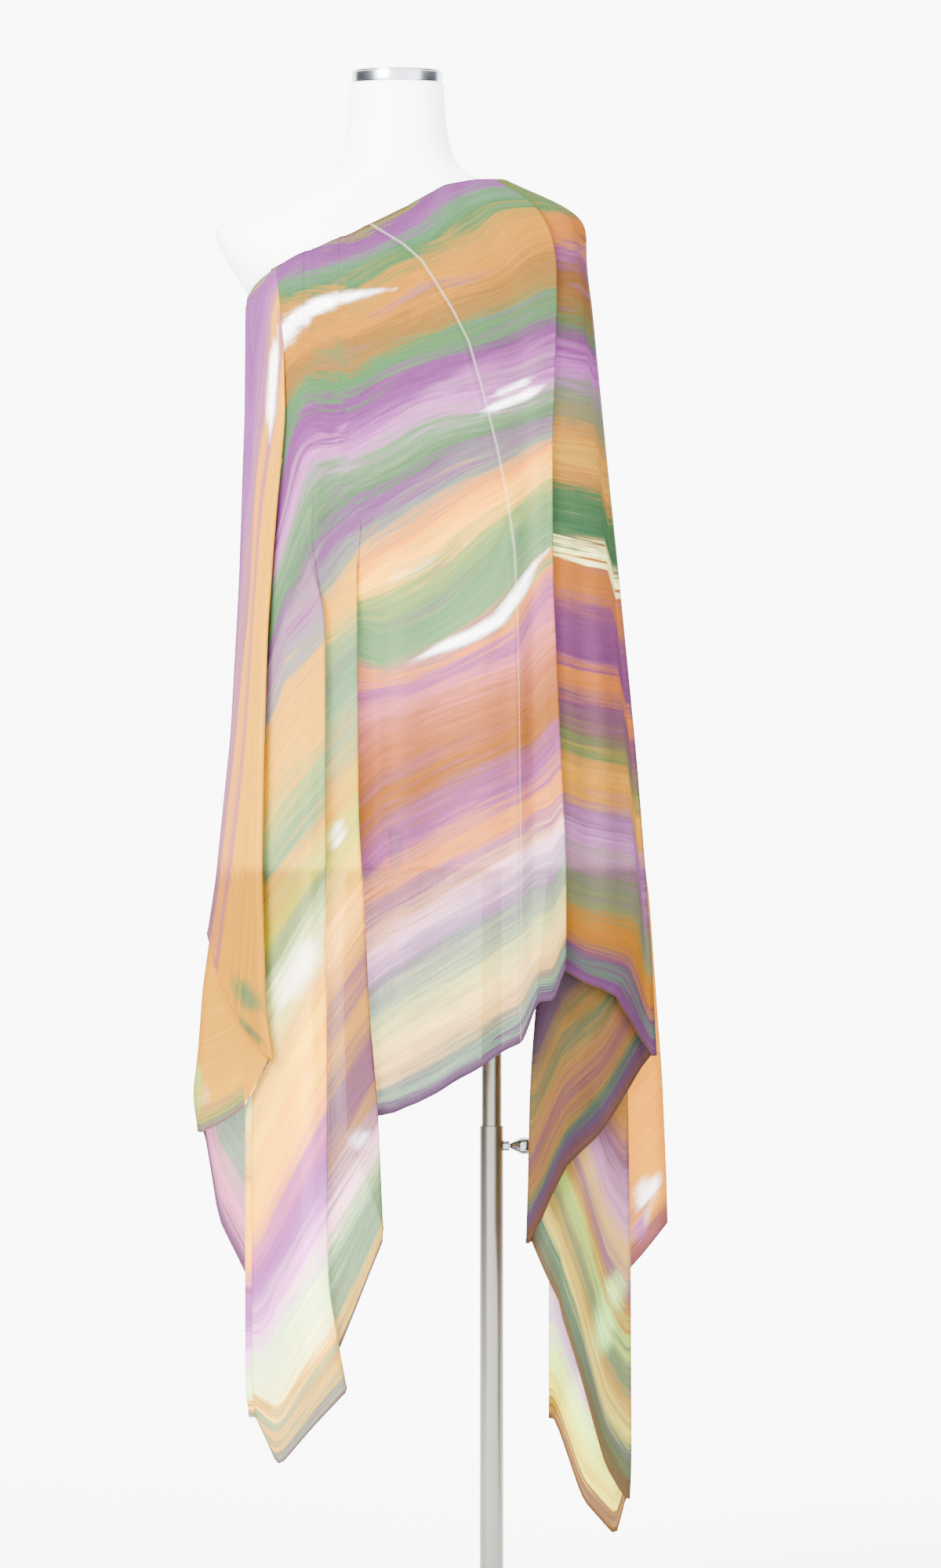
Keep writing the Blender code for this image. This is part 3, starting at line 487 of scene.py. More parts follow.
def buildStand():
    top, edge, play, clamp = (stand[key] for key in ("plateHeight", "plateRadius", "play", "clampHeight"))
    plate = [(edge - 0.6, 0.0), (edge, top - 1.2), (edge - 2.8, top), (edge - 5.0, top)]
    yield "base_plate", turned("stand_base_plate", rounded(plate, stand["plateEdge"]), satin, "stand", 160)
    foot, top, inner = top + play, stand["flangeTop"], stand["tubeRadius"] + play
    outer, collar = stand["flangeRadius"], stand["collarRadius"]
    flange = [(inner, foot), (outer, foot), (outer, foot + 3.3), (collar, top), (inner, top)]
    yield "foot_flange", turned("stand_foot_flange", rounded(flange, 1.0), steel, "stand", hollow=True)
    outer, inner, top = stand["tubeRadius"], stand["tubeRadius"] - stand["tubeWall"], stand["tubeTop"]
    tube = [(inner, foot), (outer, foot), (outer, top - 0.6), (outer - 0.4, top), (inner + 0.4, top),
            (inner, top - 0.6)]
    yield "outer_tube", turned("stand_outer_tube", tube, steel, "stand", hollow=True)
    outer, inner = stand["mastRadius"], stand["mastRadius"] - stand["mastWall"]
    foot, top = stand["mastFoot"], stand["mastTop"]
    mast = [(inner, foot), (outer, foot), (outer, top), (inner, top)]
    yield "mast", turned("stand_mast", mast, steel, "mast", hollow=True)
    radius = stand["bossRadius"]
    boss = rounded([(3.2, 12.2), (radius, 12.2), (radius, 19.5), (3.2, 19.5)], 0.6)
    yield "clamp_boss", turned("stand_clamp_boss", boss, chrome, "stand", 48, True, clamp)
    radius, end = stand["knobRadius"], stand["knobEnd"]
    knob = [(2.0, 11.3), (2.6, 11.3), (2.6, 21.0), (3.8, 22.0), (7.5, end - 13.0), (radius, end - 10.0),
            (radius, end - 2.5), (radius - 1.4, end - 0.6), (radius - 3.4, end), (2.0, end)]
    yield "clamp_screw", turned("stand_clamp_screw", rounded(knob, 1.3), chrome, "clamp", 64, False, clamp)
    radius, top, foot = stand["capRadius"], stand["capTop"], stand["capTop"] - stand["capHeight"]
    cap = [(radius - 0.5, foot), (radius, foot + 1.3), (radius, top - 2.7), (radius - 1.2, top - 1.7),
           (radius - 0.5, top - 1.0), (radius - 1.9, top), (radius - 5.0, top)]
    yield "neck_cap", turned("form_neck_cap", rounded(cap, 0.5, 3), capChrome, "form", 120, shift=formOffset)


for node, piece in buildStand():
    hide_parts(node)
print("stand built")

# the hang of the scarf: its layers are stacked on a smooth envelope round the form
# height, left reach, right reach, front, side
hangRings = [
    (100, 238, 322, 108, 30), (400, 238, 322, 112, 30), (560, 234, 318, 114, 30), (700, 224, 311, 117, 28),
    (842, 210, 300, 120, 26), (960, 197, 288, 122, 24), (1070, 189, 275, 123, 22),
    (1190, 183, 262, 124, 18), (1300, 177, 250, 125, 14), (1385, 171, 238, 123, 10),
    (1420, 169, 231, 116, 8), (1460, 169, 223, 102, 6), (1500, 188, 213, 88, 4),
]
drape = {
    "clearance": 2.1, "skinGap": 1.1, "shoulderLift": 7.4, "shoulderReach": 213.0, "rearFrom": 880.0,
    "rearTo": 1450.0, "rearLayer": -22.0, "rearStep": 0.5, "leftPower": 2.45, "rightPower": 2.1,
    "shoulderPower": 2.5, "sideLean": 14.0, "edgeLean": 58.0, "bendReach": 9.0, "thickness": 0.5,
    "columnWidth": 3.4, "rowHeight": 5.2, "hemWidth": 5.2, "hemRadius": 0.8, "crowding": 1.15,
}


# left reach, right reach, front and side depth by height, with the form's own shape at the top
def envelope():
    z = np.arange(100.0, 1640.0)
    keys, *sizes = zip(*hangRings)
    left, right, front, side = (np.interp(z, keys, values) for values in sizes)
    half, skin = (np.interp(z, ringKeys, ringSizes[k]) + drape["clearance"] for k in (0, 1))
    ridge = np.interp(z - drape["shoulderLift"], ringKeys, ringSizes[0]) + drape["clearance"]
    above, blend = z > 1500.0, smoothStep(z, 1500.0, 1528.0)
    left, front = np.where(above, half, left), np.where(above, skin, front)
    right = np.where(above, drape["shoulderReach"] + (ridge - drape["shoulderReach"]) * blend, right)
    side = np.where(above, 4.0 * (1.0 - blend), side)
    steepness = np.minimum(np.hypot(1.0, np.gradient(right)), 2.6)
    return [lambda at, curve=blurred(values, 6.0): np.interp(at, z, curve)
            for values in (left, right, front, side, steepness)]


leftReach, rightReach, frontDepth, sideDepth, widening = envelope()


def bulge(x, half, power):
    return (1.0 - np.clip(np.abs(x) / half, 0.0, 1.0) ** power) ** (1.0 / power)


# the cloth's middle surface, from its place in front view and its layer; forward layers are positive
def clothPoint(x, z, layer, lean):
    spread = np.where(x < 0, np.interp(z, (950, 1290, 1400, 1460), (1.0, 0.45, 0.13, 0.05)),
                      np.interp(z, (1000, 1300, 1450), (1.0, 0.7, 0.6)))
    offset = layer * spread
    side, front, right = sideDepth(z), frontDepth(z), rightReach(z)
    leftSide = side - (front + offset + side) * bulge(x, leftReach(z) + offset, drape["leftPower"])

    backed = side + drape["sideLean"] * (1.0 - smoothStep(z, 1300.0, 1480.0))
    hanging = backed - (front + backed) * bulge(x, right, drape["rightPower"]) - offset
    lift = offset + drape["shoulderLift"] * smoothStep(x, 40.0, 110.0)
    lying = side - (front + lift + side) * bulge(x, right + lift * widening(z), drape["shoulderPower"])
    rightSide = hanging + (lying - hanging) * smoothStep(z, 1400.0, 1470.0)
    y = np.where(x < 0, leftSide, rightSide)

    rearLift = np.maximum(drape["rearLayer"] - layer, 0.0) * drape["rearStep"] + drape["shoulderLift"]
    depth = formBack(z) + drape["clearance"] + rearLift
    rear = side + (depth - side) * bulge(x, right + rearLift * widening(z), drape["shoulderPower"])
    behind = smoothStep(z, drape["rearFrom"], drape["rearTo"]) * smoothStep(-layer, 15.0, 22.0)
    y = y + (rear - y) * behind + lean
    skin = surfaceAt(x, z) - drape["skinGap"] - 0.012 * np.maximum(layer + 6.0, 0.0)
    onFront = overForm(x, z) & (z < 1600.0) & (behind < 0.02)
    return np.stack([x, np.where(onFront, np.minimum(y, skin), y), z], axis=-1)


def overForm(x, z):
    return (z > form["thighCut"]) & (np.abs(x) < formHalf(z) - 6.0)


# (x, z) down a fold line, with its corners softened
def pathAt(path, shares):
    places, heights = np.array(path, dtype=float).T
    dense = np.linspace(0.0, 1.0, 241)
    z = heights[0] + (heights[-1] - heights[0]) * dense
    x = blurred(np.interp(-z, -heights, places), 3.0)
    return np.interp(shares, dense, x), np.interp(shares, dense, z)


# laps: how far the cloth turns back under itself by height, and where that under pass ends
laps = {
    "tail outer fold": {"back": [(1240, -9), (1170, -4), (1080, 10), (800, 14), (400, 11), (300, 10)],
                        "foot": 322},
    "lap fold": {"back": [(1215, -9), (1150, -4), (1060, 11), (884, 14), (766, 17), (580, 34), (440, 36)],
                 "foot": 574},
}
# the round of a lap: share of the way back, forward reach, share of the way down and through the layers
lapRound = [
    (0.0, 0.0, 0.0, 0.0), (0.0, 1.2, 0.10, 0.15), (0.12, 0.0, 0.30, 0.325), (0.31, 0.0, 0.425, 0.4125),
    (0.50, 0.0, 0.55, 0.50), (0.69, 0.0, 0.675, 0.5875), (0.88, 0.0, 0.80, 0.675), (1.0, -1.2, 0.95, 0.85),
    (1.0, 0.0, 1.0, 1.0),
]


# columns between two places of the cloth, each (x, z, layer, lean, dye) down the shares
def fillBetween(strip, a, b):
    width = np.median(np.abs(b[0] - a[0]))
    steps = int(np.clip(round(width / drape["columnWidth"]), 2, 60))
    for mix in np.arange(1, steps) / steps:
        eased = mix * mix * (3 - 2 * mix)
        x, z, layer, lean, dye = (a[i] + (b[i] - a[i]) * (eased if i == 2 else mix) for i in range(5))
        strip.append((clothPoint(x, z, layer, lean), dye))


# the round of a fold, from where its front pass ends to where its back pass starts
def roundBend(strip, a, b, crownX, steps=7):
    first, last = clothPoint(*a[:4]), clothPoint(*b[:4])
    middle, half = (first + last) * 0.5, (last - first) * 0.5
    for angle in np.linspace(-np.pi / 2, np.pi / 2, steps + 2)[1:-1]:
        point = middle + half * math.sin(angle)
        point[:, 0] += (crownX - middle[:, 0]) * math.cos(angle)
        strip.append((point, a[4]))


def layCloth(lines, rows):
    shares = np.linspace(0.0, 1.0, rows + 1) ** drape["crowding"]
    strip, leaving, marks = [], None, {}
    placed = [pathAt(path, shares) for *_, path in lines]
    for index, (name, turn, layerIn, layerOut, _) in enumerate(lines):
        x, z = placed[index]
        dye = np.interp(shares, *zip(*dyeRuns[name])) if name in dyeRuns else shares
        lean = (drape["edgeLean"] if turn == "edge" else 0.0) * (0.35 + 0.65 * shares)
        layerIn, layerOut = np.full_like(x, layerIn), np.full_like(x, layerOut)
        arrive = leave = (x, z, layerIn, lean, dye)
        if turn in ("fold", "start", "end"):
            roomIn = placed[index - 1][0] - x if index else placed[index + 1][0] - x
            roomOut = placed[index + 1][0] - x if index + 1 < len(lines) else roomIn
            spread = np.linalg.norm(clothPoint(x, z, layerIn, 0) - clothPoint(x, z, layerOut, 0), axis=1)
            most = np.minimum(0.5 * spread, drape["bendReach"])
            arrive, leave = ((x + np.sign(room) * np.minimum(most, 0.42 * np.abs(room)), z, layer, lean, dye)
                             for room, layer in ((roomIn, layerIn), (roomOut, layerOut)))
        elif turn == "lap":
            lap = laps[name]
            back = smoothTable(*zip(*lap["back"][::-1]), 18.0)(z)
            opened = smoothStep(-z, -lap["back"][0][0], -lap["back"][2][0])
            foot = z[0] + (lap["foot"] - z[0]) * shares
            middle = 0.5 * (layerIn + layerOut)
            underDye = np.interp(shares, *zip(*dyeRuns["under " + name]))
            arrive = (x, z, middle + (layerIn - middle) * opened, lean, dye)
            leave = (x - back, foot, middle + (layerOut - middle) * opened, lean, underDye)
        if leaving is not None:
            fillBetween(strip, leaving, arrive)
        marks[name] = len(strip) + (4 if turn in ("fold", "lap") else 0)
        if turn == "lap":
            for backed, forward, down, through in lapRound:
                layer = arrive[2] + (leave[2] - arrive[2]) * through
                across = x - backed * back + forward * opened
                column = clothPoint(across, z + (foot - z) * down, layer, lean)
                strip.append((column, dye + (underDye - dye) * down))
        else:
            if turn in ("fold", "end"):
                strip.append((clothPoint(*arrive[:4]), dye))
                roundBend(strip, arrive, leave, x)
            strip.append((clothPoint(*leave[:4]), dye))
        leaving = leave
    columns, dyes = (np.array(part) for part in zip(*strip))

    # the edge sags softly between its folds and wavers a little
    reach = np.arange(len(columns))
    fall, rise = columns[:, -1, 2].copy(), columns[:, 0, 2].copy()
    soft = blurred(fall, 0.8) - fall + 1.4 * np.sin(reach * 0.21) + 0.7 * np.sin(reach * 0.47 + 1.0)
    columns[..., 2] += soft[:, None] * smoothStep(shares, 0.80, 1.0)
    columns[..., 2] += (blurred(rise, 4.0) - rise)[:, None] * (1.0 - smoothStep(shares, 0.0, 0.10))
    return columns, dyes, marks


# above the laps the bands run on across the folds, so there the dye goes by place in the front view
def evenDye(lines, columns, dyes, last):
    step, lowest, leftmost = 4.0, 1060.0, -180.0
    heights, places = np.arange(lowest, 1600.0, step), np.arange(leftmost, 220.0, step)
    shares = np.linspace(0.0, 1.0, 241)
    tracks = []
    for name, *_, path in lines[:-1]:
        x, z = pathAt(path, shares)
        dye = np.interp(shares, *zip(*dyeRuns[name]))
        tracks.append([np.interp(-heights, -z, values) for values in (x, dye)])
    table = np.array([blurred(np.interp(places, *at), 3.5) for at in np.array(tracks).transpose(2, 1, 0)]).T
    x, z = columns[:last, :, 0], columns[:last, :, 2]
    i = np.clip((x - leftmost) / step, 0.0, len(places) - 1.001)
    k = np.clip((z - lowest) / step, 0.0, len(heights) - 1.001)
    i0, k0 = i.astype(int), k.astype(int)
    under, over = (table[i0, at] + (table[i0 + 1, at] - table[i0, at]) * (i - i0) for at in (k0, k0 + 1))
    share = smoothStep(z, 1080.0, 1180.0) * smoothStep(np.linspace(0.0, 1.0, columns.shape[1]), 0.0, 0.03)
    dyes[:last] += (under + (over - under) * (k - k0) - dyes[:last]) * share


# how far each point is from a path in the front view, and how far along the path, from 0 to 1
def nearPath(x, z, path):
    nearest, along, done = np.full_like(x, 1e9), np.zeros_like(x), 0.0
    whole = sum(math.dist(a, b) for a, b in zip(path, path[1:]))
    for (x0, z0), (x1, z1) in zip(path, path[1:]):
        length = math.dist((x0, z0), (x1, z1))
        share = np.clip(((x - x0) * (x1 - x0) + (z - z0) * (z1 - z0)) / length ** 2, 0.0, 1.0)
        gap = np.hypot(x - x0 - share * (x1 - x0), z - z0 - share * (z1 - z0))
        along = np.where(gap < nearest, (done + share * length) / whole, along)
        nearest = np.minimum(nearest, gap)
        done += length
    return nearest, along


# creases and soft ridges: width, height (forward positive) and the (x, z) they run through
creases = [
    (4, 1.6, [(-24, 1541), (7, 1518), (25, 1500), (41, 1475), (57, 1447), (74, 1411), (87, 1362),
        (114, 1273)]),
    (5, 1.8, [(114, 1273), (127, 1230), (131, 1019), (135, 700)]),
    (24, -6, [(-100, 1440), (-60, 1250), (-62, 900), (-60, 500)]),
    (26, 7, [(-125, 1330), (-118, 1000), (-118, 500), (-124, 260)]),
    (30, -7, [(40, 1200), (46, 950), (44, 660)]),
    (26, 6, [(-2, 1150), (0, 900), (4, 620)]),
    (22, 6, [(92, 1150), (96, 900), (96, 680)]),
    (7, -1.8, [(140, 1180), (122, 1120), (96, 1040), (84, 1020)]),
    (6, 1.5, [(134, 1226), (118, 1178), (104, 1150)]),
    (5, 1.6, [(-139, 618), (-110, 545), (-74, 460)]),
    (4, -1.5, [(-46, 416), (-34, 440), (-24, 466)]),
    (10, 2.4, [(-150, 700), (-120, 640), (-90, 560)]),
    (9, -2.2, [(140, 660), (150, 900), (150, 1150)]),
    (12, 3, [(186, 740), (188, 950), (184, 1200)]),
    (14, -3, [(206, 760), (206, 950), (198, 1200)]),
    (13, 3.2, [(228, 720), (226, 940), (214, 1180)]),
    (10, -2, [(247, 760), (240, 960), (226, 1180)]),
    (16, -3, [(230, 640), (210, 560), (180, 500)]),
    (6, 2.2, [(249, 729), (213, 669), (199, 631)]),
    (6, -2.4, [(203, 619), (232, 560)]),
    (18, 3, [(182, 420), (190, 330), (214, 240), (236, 170)]),
    (14, -14, [(-25, 1180), (-23, 1000), (-20, 800), (-12, 640)]),
    (12, -6, [(-118, 1080), (-112, 900), (-112, 600), (-112, 380)]),
    (9, 4, [(-96, 1040), (-92, 800), (-92, 500)]),
    (3, 1.6, [(-128, 1180), (-100, 1215), (-66, 1238)]),
    (2.6, -1.5, [(66, 1132), (84, 1160), (104, 1196)]),
    (3, 1.6, [(88, 1170), (112, 1206), (128, 1236)]),
    (3, -1.6, [(140, 1236), (122, 1216), (112, 1190)]),
    (2.6, 1.4, [(62, 1100), (88, 1092), (120, 1098)]),
]
# the path of the pressed crease, which the shader draws as a painted highlight with a painted shade beside it
pressedCrease = [
    (-30, 1541), (7, 1518), (27, 1500), (43, 1475), (60, 1447), (78, 1411), (92, 1362), (108, 1300),
    (120, 1240), (127, 1190), (130, 1120), (132, 1000), (133, 880), (134, 700),
]


# how far the creases push the cloth forward at each point
def relief(x, z):
    total = np.zeros_like(x)
    for width, height, path in creases:
        nearest, along = nearPath(x, z, path)
        fade = smoothStep(along, 0.0, 0.25) * (1 - 0.6 * smoothStep(along, 0.7, 1.0))
        total += height * fade * np.exp(-(nearest / width) ** 2)
    return total


# signed distance from the pressed crease, which carries its painted highlight and painted shade;
# it ends at its top and gets fainter downwards
def creaseDistance(x, z):
    places, heights = np.array(pressedCrease, dtype=float).T
    slope = np.interp(-z, -heights, np.gradient(places, -heights))
    distance = (x - np.interp(-z, -heights, places)) / np.hypot(1.0, slope)
    fainter = 3.0 * smoothStep(-z, -1200.0, -1060.0)
    return distance + np.sign(distance) * fainter + np.maximum(z - heights[0], 0.0) * 2.0


# a colour and a strength for each point: undyed streaks and patches, and painted highlights, from a short
# table
def stainsAndHighlightsOn(x, z, stainsAndHighlights):
    mixed = np.zeros(x.shape + (4,))
    for shade, width, strength, path in stainsAndHighlights:
        nearest, along = nearPath(x, z, path)
        taper = 0.35 + 0.65 * smoothStep(np.minimum(along, 1.0 - along), 0.0, 0.3)
        power = strength * taper * np.exp(-(nearest / (width * taper)) ** 2)
        stainAndHighlight = np.concatenate([np.broadcast_to(colour(shade)[:3], x.shape + (3,)), power[..., None]], -1)
        mixed = np.where(power[..., None] > mixed[..., 3:], stainAndHighlight, mixed)
    return mixed


# a UV for each face corner, and the rest for each point
def setAttributes(mesh, uv, stainAndHighlight, **values):
    corners = np.empty(len(mesh.loops), dtype=np.int32)
    mesh.loops.foreach_get("vertex_index", corners)
    mesh.uv_layers.new(name="Cloth").data.foreach_set("uv", uv[corners].astype(np.float32).ravel())
    for name, value in values.items():
        mesh.attributes.new(name, "FLOAT", "POINT").data.foreach_set("value", value.astype(np.float32))
    stainsAndHighlights = mesh.attributes.new("stainAndHighlight", "FLOAT_COLOR", "POINT")
    stainsAndHighlights.data.foreach_set("color", stainAndHighlight.astype(np.float32).ravel())


def lengths(points, axis):
    return np.linalg.norm(np.diff(points, axis=axis), axis=-1)


# one stretch of the scarf as a thin closed shell; its edges thicken into the rolled hem
def buildStretch(name, lines, zones, stainsAndHighlights, hemmed):
    tallest = max(path[0][1] - path[-1][1] for *_, path in lines)
    grid, dye, marks = layCloth(lines, int(tallest / drape["rowHeight"]))
    pressed = name == "scarf_front_panel"
    if pressed:
        evenDye(lines, grid, dye, marks["shoulder fold"])
    width, height = grid.shape[:2]
    x, y, z = (grid[..., k] for k in range(3))
    skin = surfaceAt(x, z) - drape["skinGap"]
    lying = (y <= skin + 0.01) & overForm(x, z)
    y -= relief(x, z)
    y[lying] = np.minimum(y, skin)[lying]

    # distances down and across the cloth for its weave, and from its hemmed borders
    down = np.concatenate([np.zeros((width, 1)), np.cumsum(lengths(grid, 1), axis=1)], 1)
    across = np.concatenate([[0.0], np.cumsum(lengths(grid[:, height // 2], 0))])
    uv = np.stack([np.broadcast_to(across[:, None], down.shape), down], -1) * mm
    toFirst, toLast = (np.linalg.norm(grid - grid[[side]], axis=2) for side in (0, -1))
    toBorder = {"hem": down[:, -1:] - down, "top": down + 0.5, "first": toFirst, "last": toLast}
    toHem = np.minimum.reduce([toBorder[border] for border in hemmed])
    hem = 1.0 - smoothStep(toHem, drape["hemWidth"] - 0.6, drape["hemWidth"] + 0.6)
    stainAndHighlight = stainsAndHighlightsOn(x, z, stainsAndHighlights)
    stainAndHighlight[..., 3] *= 1.0 - hem

    normals = np.cross(np.gradient(grid, axis=0), np.gradient(grid, axis=1))
    normals /= np.linalg.norm(normals, axis=2)[..., None] + 1e-9
    wall = normals * 0.5 * drape["thickness"] * (1.0 + 1.2 * hem)[..., None]
    count = width * height
    outer = gridFaces(width, height)
    faces = [f[::-1] for f in outer] + [tuple(v + count for v in f) for f in outer]
    ids = np.arange(count).reshape(width, height)
    rim = np.concatenate([ids[:, 0], ids[-1, 1:], ids[-2::-1, -1], ids[0, -2:0:-1]]).tolist()
    faces += [(a, b, b + count, a + count) for a, b in zip(rim, rim[1:] + rim[:1])]
    made = addMesh(name, np.concatenate([grid + wall, grid - wall]).reshape(-1, 3), faces, zones[0][1])

    # each dye starts at its own fold
    starts = [marks[fold] for fold, _ in zones]
    for _, finish in zones[1:]:
        made.data.materials.append(finish)
    column = np.repeat(np.arange(width - 1), height - 1)
    rimColumns = np.minimum(np.array(rim) // height, width - 2)
    zone = np.searchsorted(starts, np.concatenate([column, column, rimColumns]), side="right") - 1
    made.data.polygons.foreach_set("material_index", np.clip(zone, 0, len(zones) - 1).astype(np.int32))

    # light comes through below the form, and between its thigh stubs
    gap = smoothStep(-z, -890.0, -880.0) * (1.0 - smoothStep(np.abs(x), 4.0, 9.0))
    loose = 0.16 + 0.84 * np.maximum(smoothStep(-z, -849.0, -838.0), gap)
    crease = creaseDistance(x, z) if pressed else np.full_like(x, 99.0)
    setAttributes(made.data, np.tile(uv.reshape(-1, 2), (2, 1)), np.tile(stainAndHighlight.reshape(-1, 4), (2, 1)),
                  dye=np.tile(dye.ravel(), 2), hem=np.tile(hem.ravel(), 2), loose=np.tile(loose.ravel(), 2),
                  crease=np.tile(crease.ravel(), 2))
    turnOutwards(made.data)
    return made, grid, dye


# rolled edges as slim cords along the borders; they take the dye of the border
def buildHem(name, runs, finish):
    points, faces = sweptCords([(path, False) for path, _ in runs], drape["hemRadius"])
    made = addMesh(name, points, faces, finish)
    dye = np.concatenate([np.repeat(shade, cordSides) for _, shade in runs])
    ones = np.ones(len(points))
    setAttributes(made.data, toScene(points)[:, [0, 2]], np.zeros((len(points), 4)), dye=dye, hem=ones,
                  loose=ones, crease=99.0 * ones)
    return made


# fold lines, from the left: name, turn, layer before and after, and the (x, z) it runs through from the
# top edge to the hem; a fold that ends one stretch starts the next
sideFold = [(-130, 1494), (-121, 1400), (-119, 1329), (-128, 1230), (-137, 1112), (-141, 977), (-143, 850),
    (-139, 698), (-131, 641)]
tailFold = [(-136, 1490), (-131, 1400), (-128, 1285), (-135, 1200), (-142, 1112), (-152, 977), (-158, 850),
    (-162, 580), (-162, 284), (-158, 256)]
recessFold = [(98, 1589), (126, 1574), (143, 1557), (155, 1534), (161, 1500), (161, 1440), (156, 1300),
    (156, 1150), (162, 1019), (169, 850), (170, 737)]
reverseFold = [(94, 1564), (124, 1541), (150, 1519), (164, 1490), (173, 1440), (176, 1273), (174, 1050),
    (168, 880), (156, 760), (147, 650), (144, 600), (142, 500), (140, 441)]
tailBackFold = [(103, 1549), (136, 1523), (161, 1497), (171, 1470), (178, 1440), (184, 1273), (182, 1050),
    (178, 850), (170, 650), (165, 400), (165, 248)]
sideFall = [
    ("shoulder edge", "edge", 43, 43, [(-164, 1452), (-164, 1290), (-169, 1120), (-178, 960), (-189, 850),
        (-199, 790)]),
    ("silhouette", "soft", 43, 43, [(-162, 1466), (-163, 1357), (-165, 1289), (-169, 1154), (-178, 985),
        (-194, 833), (-203, 776)]),
    ("hem rise", "soft", 43, 43, [(-154, 1476), (-155, 1357), (-157, 1154), (-166, 985), (-180, 833),
        (-190, 722)]),
    ("hem belly", "soft", 44, 44, [(-144, 1486), (-142, 1357), (-148, 1154), (-155, 985), (-162, 833),
        (-166, 671)]),
    ("side fold", "end", 43, 35, sideFold),
]
underFall = [
    ("side fold", "start", 43, 35, [(-120, 1285)] + sideFold[3:]),
    ("reverse hem", "soft", 35, 35, [(-132, 1285), (-146, 1112), (-156, 977), (-168, 830), (-166, 700),
        (-163, 586)]),
    ("corner fold", "fold", 35, 2, [(-148, 1285), (-156, 1154), (-164, 1000), (-178, 870), (-200, 778),
        (-209, 715), (-214, 647), (-220, 597), (-214, 560)]),
    ("end hem high", "soft", 2, 2, [(-140, 1285), (-146, 1112), (-158, 960), (-182, 778), (-194, 600),
        (-194, 470)]),
    ("end hem low", "soft", 2, 2, [(-130, 1285), (-134, 1112), (-140, 960), (-150, 778), (-160, 600),
        (-165, 417)]),
    ("hidden fold", "fold", 2, 13, [(-113, 1285), (-109, 1100), (-104, 900), (-102, 500), (-99, 290)]),
    ("tail back", "soft", 13, 13, [(-120, 1285), (-124, 1112), (-130, 900), (-134, 500), (-132, 264)]),
    ("tail fold", "end", 13, 26, [(-130, 1285)] + tailFold[3:]),
]
frontPanel = [
    ("tail fold", "start", 13, 26, tailFold),
    ("tail tip", "soft", 26, 26, [(-121, 1498), (-114, 1285), (-118, 1112), (-124, 850), (-130, 500),
        (-126, 202)]),
    ("tail outer fold", "lap", 26, 14, [(-100, 1510), (-97, 1190), (-77, 1120), (-76, 800), (-74, 394),
        (-54, 286)]),
    ("lap fold", "lap", 14, 0, [(-62, 1526), (-60, 1250), (-43, 1180), (-41, 884), (-35, 791), (-30, 681),
        (-21, 580), (-15, 442)]),
    ("front left", "soft", 0, 0, [(-34, 1537), (-20, 1330), (-16, 1100), (-12, 850), (-1, 583)]),
    ("hem start", "soft", 1, 1, [(-18, 1544), (4, 1330), (10, 1100), (14, 850), (21, 590)]),
    ("hem mid", "soft", 0, 0, [(12, 1560), (36, 1330), (50, 1100), (58, 850), (62, 616)]),
    ("hem end", "soft", 3, 3, [(52, 1582), (87, 1400), (114, 1273), (127, 1200), (131, 1019), (134, 690),
        (136, 658)]),
    ("valley", "soft", -3, -3, [(72, 1588), (112, 1500), (132, 1400), (142, 1273), (147, 1100), (149, 850),
        (152, 701)]),
    ("strip", "soft", 4, 4, [(88, 1589), (134, 1530), (152, 1440), (157, 1273), (163, 1019), (169, 808),
        (170, 704)]),
    ("shoulder fold", "fold", 6, 0, [(106, 1589), (137, 1573), (155, 1556), (167, 1534), (173, 1500),
        (173, 1440), (168, 1300), (169, 1150), (175, 1019), (183, 850), (183, 737)]),
    ("recess fold", "end", 0, -6, recessFold),
]
shoulderFall = [
    ("recess fold", "start", 0, -6, recessFold),
    ("fall front", "soft", -5, -5, [(108, 1590), (136, 1577), (162, 1559), (177, 1532), (182, 1460),
        (190, 1273), (199, 1050), (206, 850), (207, 718)]),
    ("fall ridge", "soft", -4, -4, [(114, 1590), (140, 1579), (178, 1560), (194, 1536), (203, 1430),
        (226, 1190), (246, 1000), (262, 800), (254, 739), (241, 705)]),
    ("fall silhouette", "fold", -6, -22, [(121, 1590), (142, 1581), (157, 1574), (199, 1558), (207, 1543),
        (206, 1500), (213, 1447), (228, 1289), (241, 1163), (259, 977), (266, 892), (276, 760),
        (282, 641)]),
    ("reverse mid", "soft", -22, -22, [(108, 1580), (150, 1560), (180, 1540), (192, 1500), (197, 1440),
        (206, 1273), (216, 1050), (222, 800), (222, 640), (222, 556)]),
    ("reverse low", "soft", -22, -22, [(100, 1572), (136, 1551), (164, 1530), (178, 1500), (185, 1440),
        (188, 1273), (188, 1050), (182, 800), (178, 640), (178, 516)]),
    ("reverse fold", "end", -22, -34, reverseFold),
]
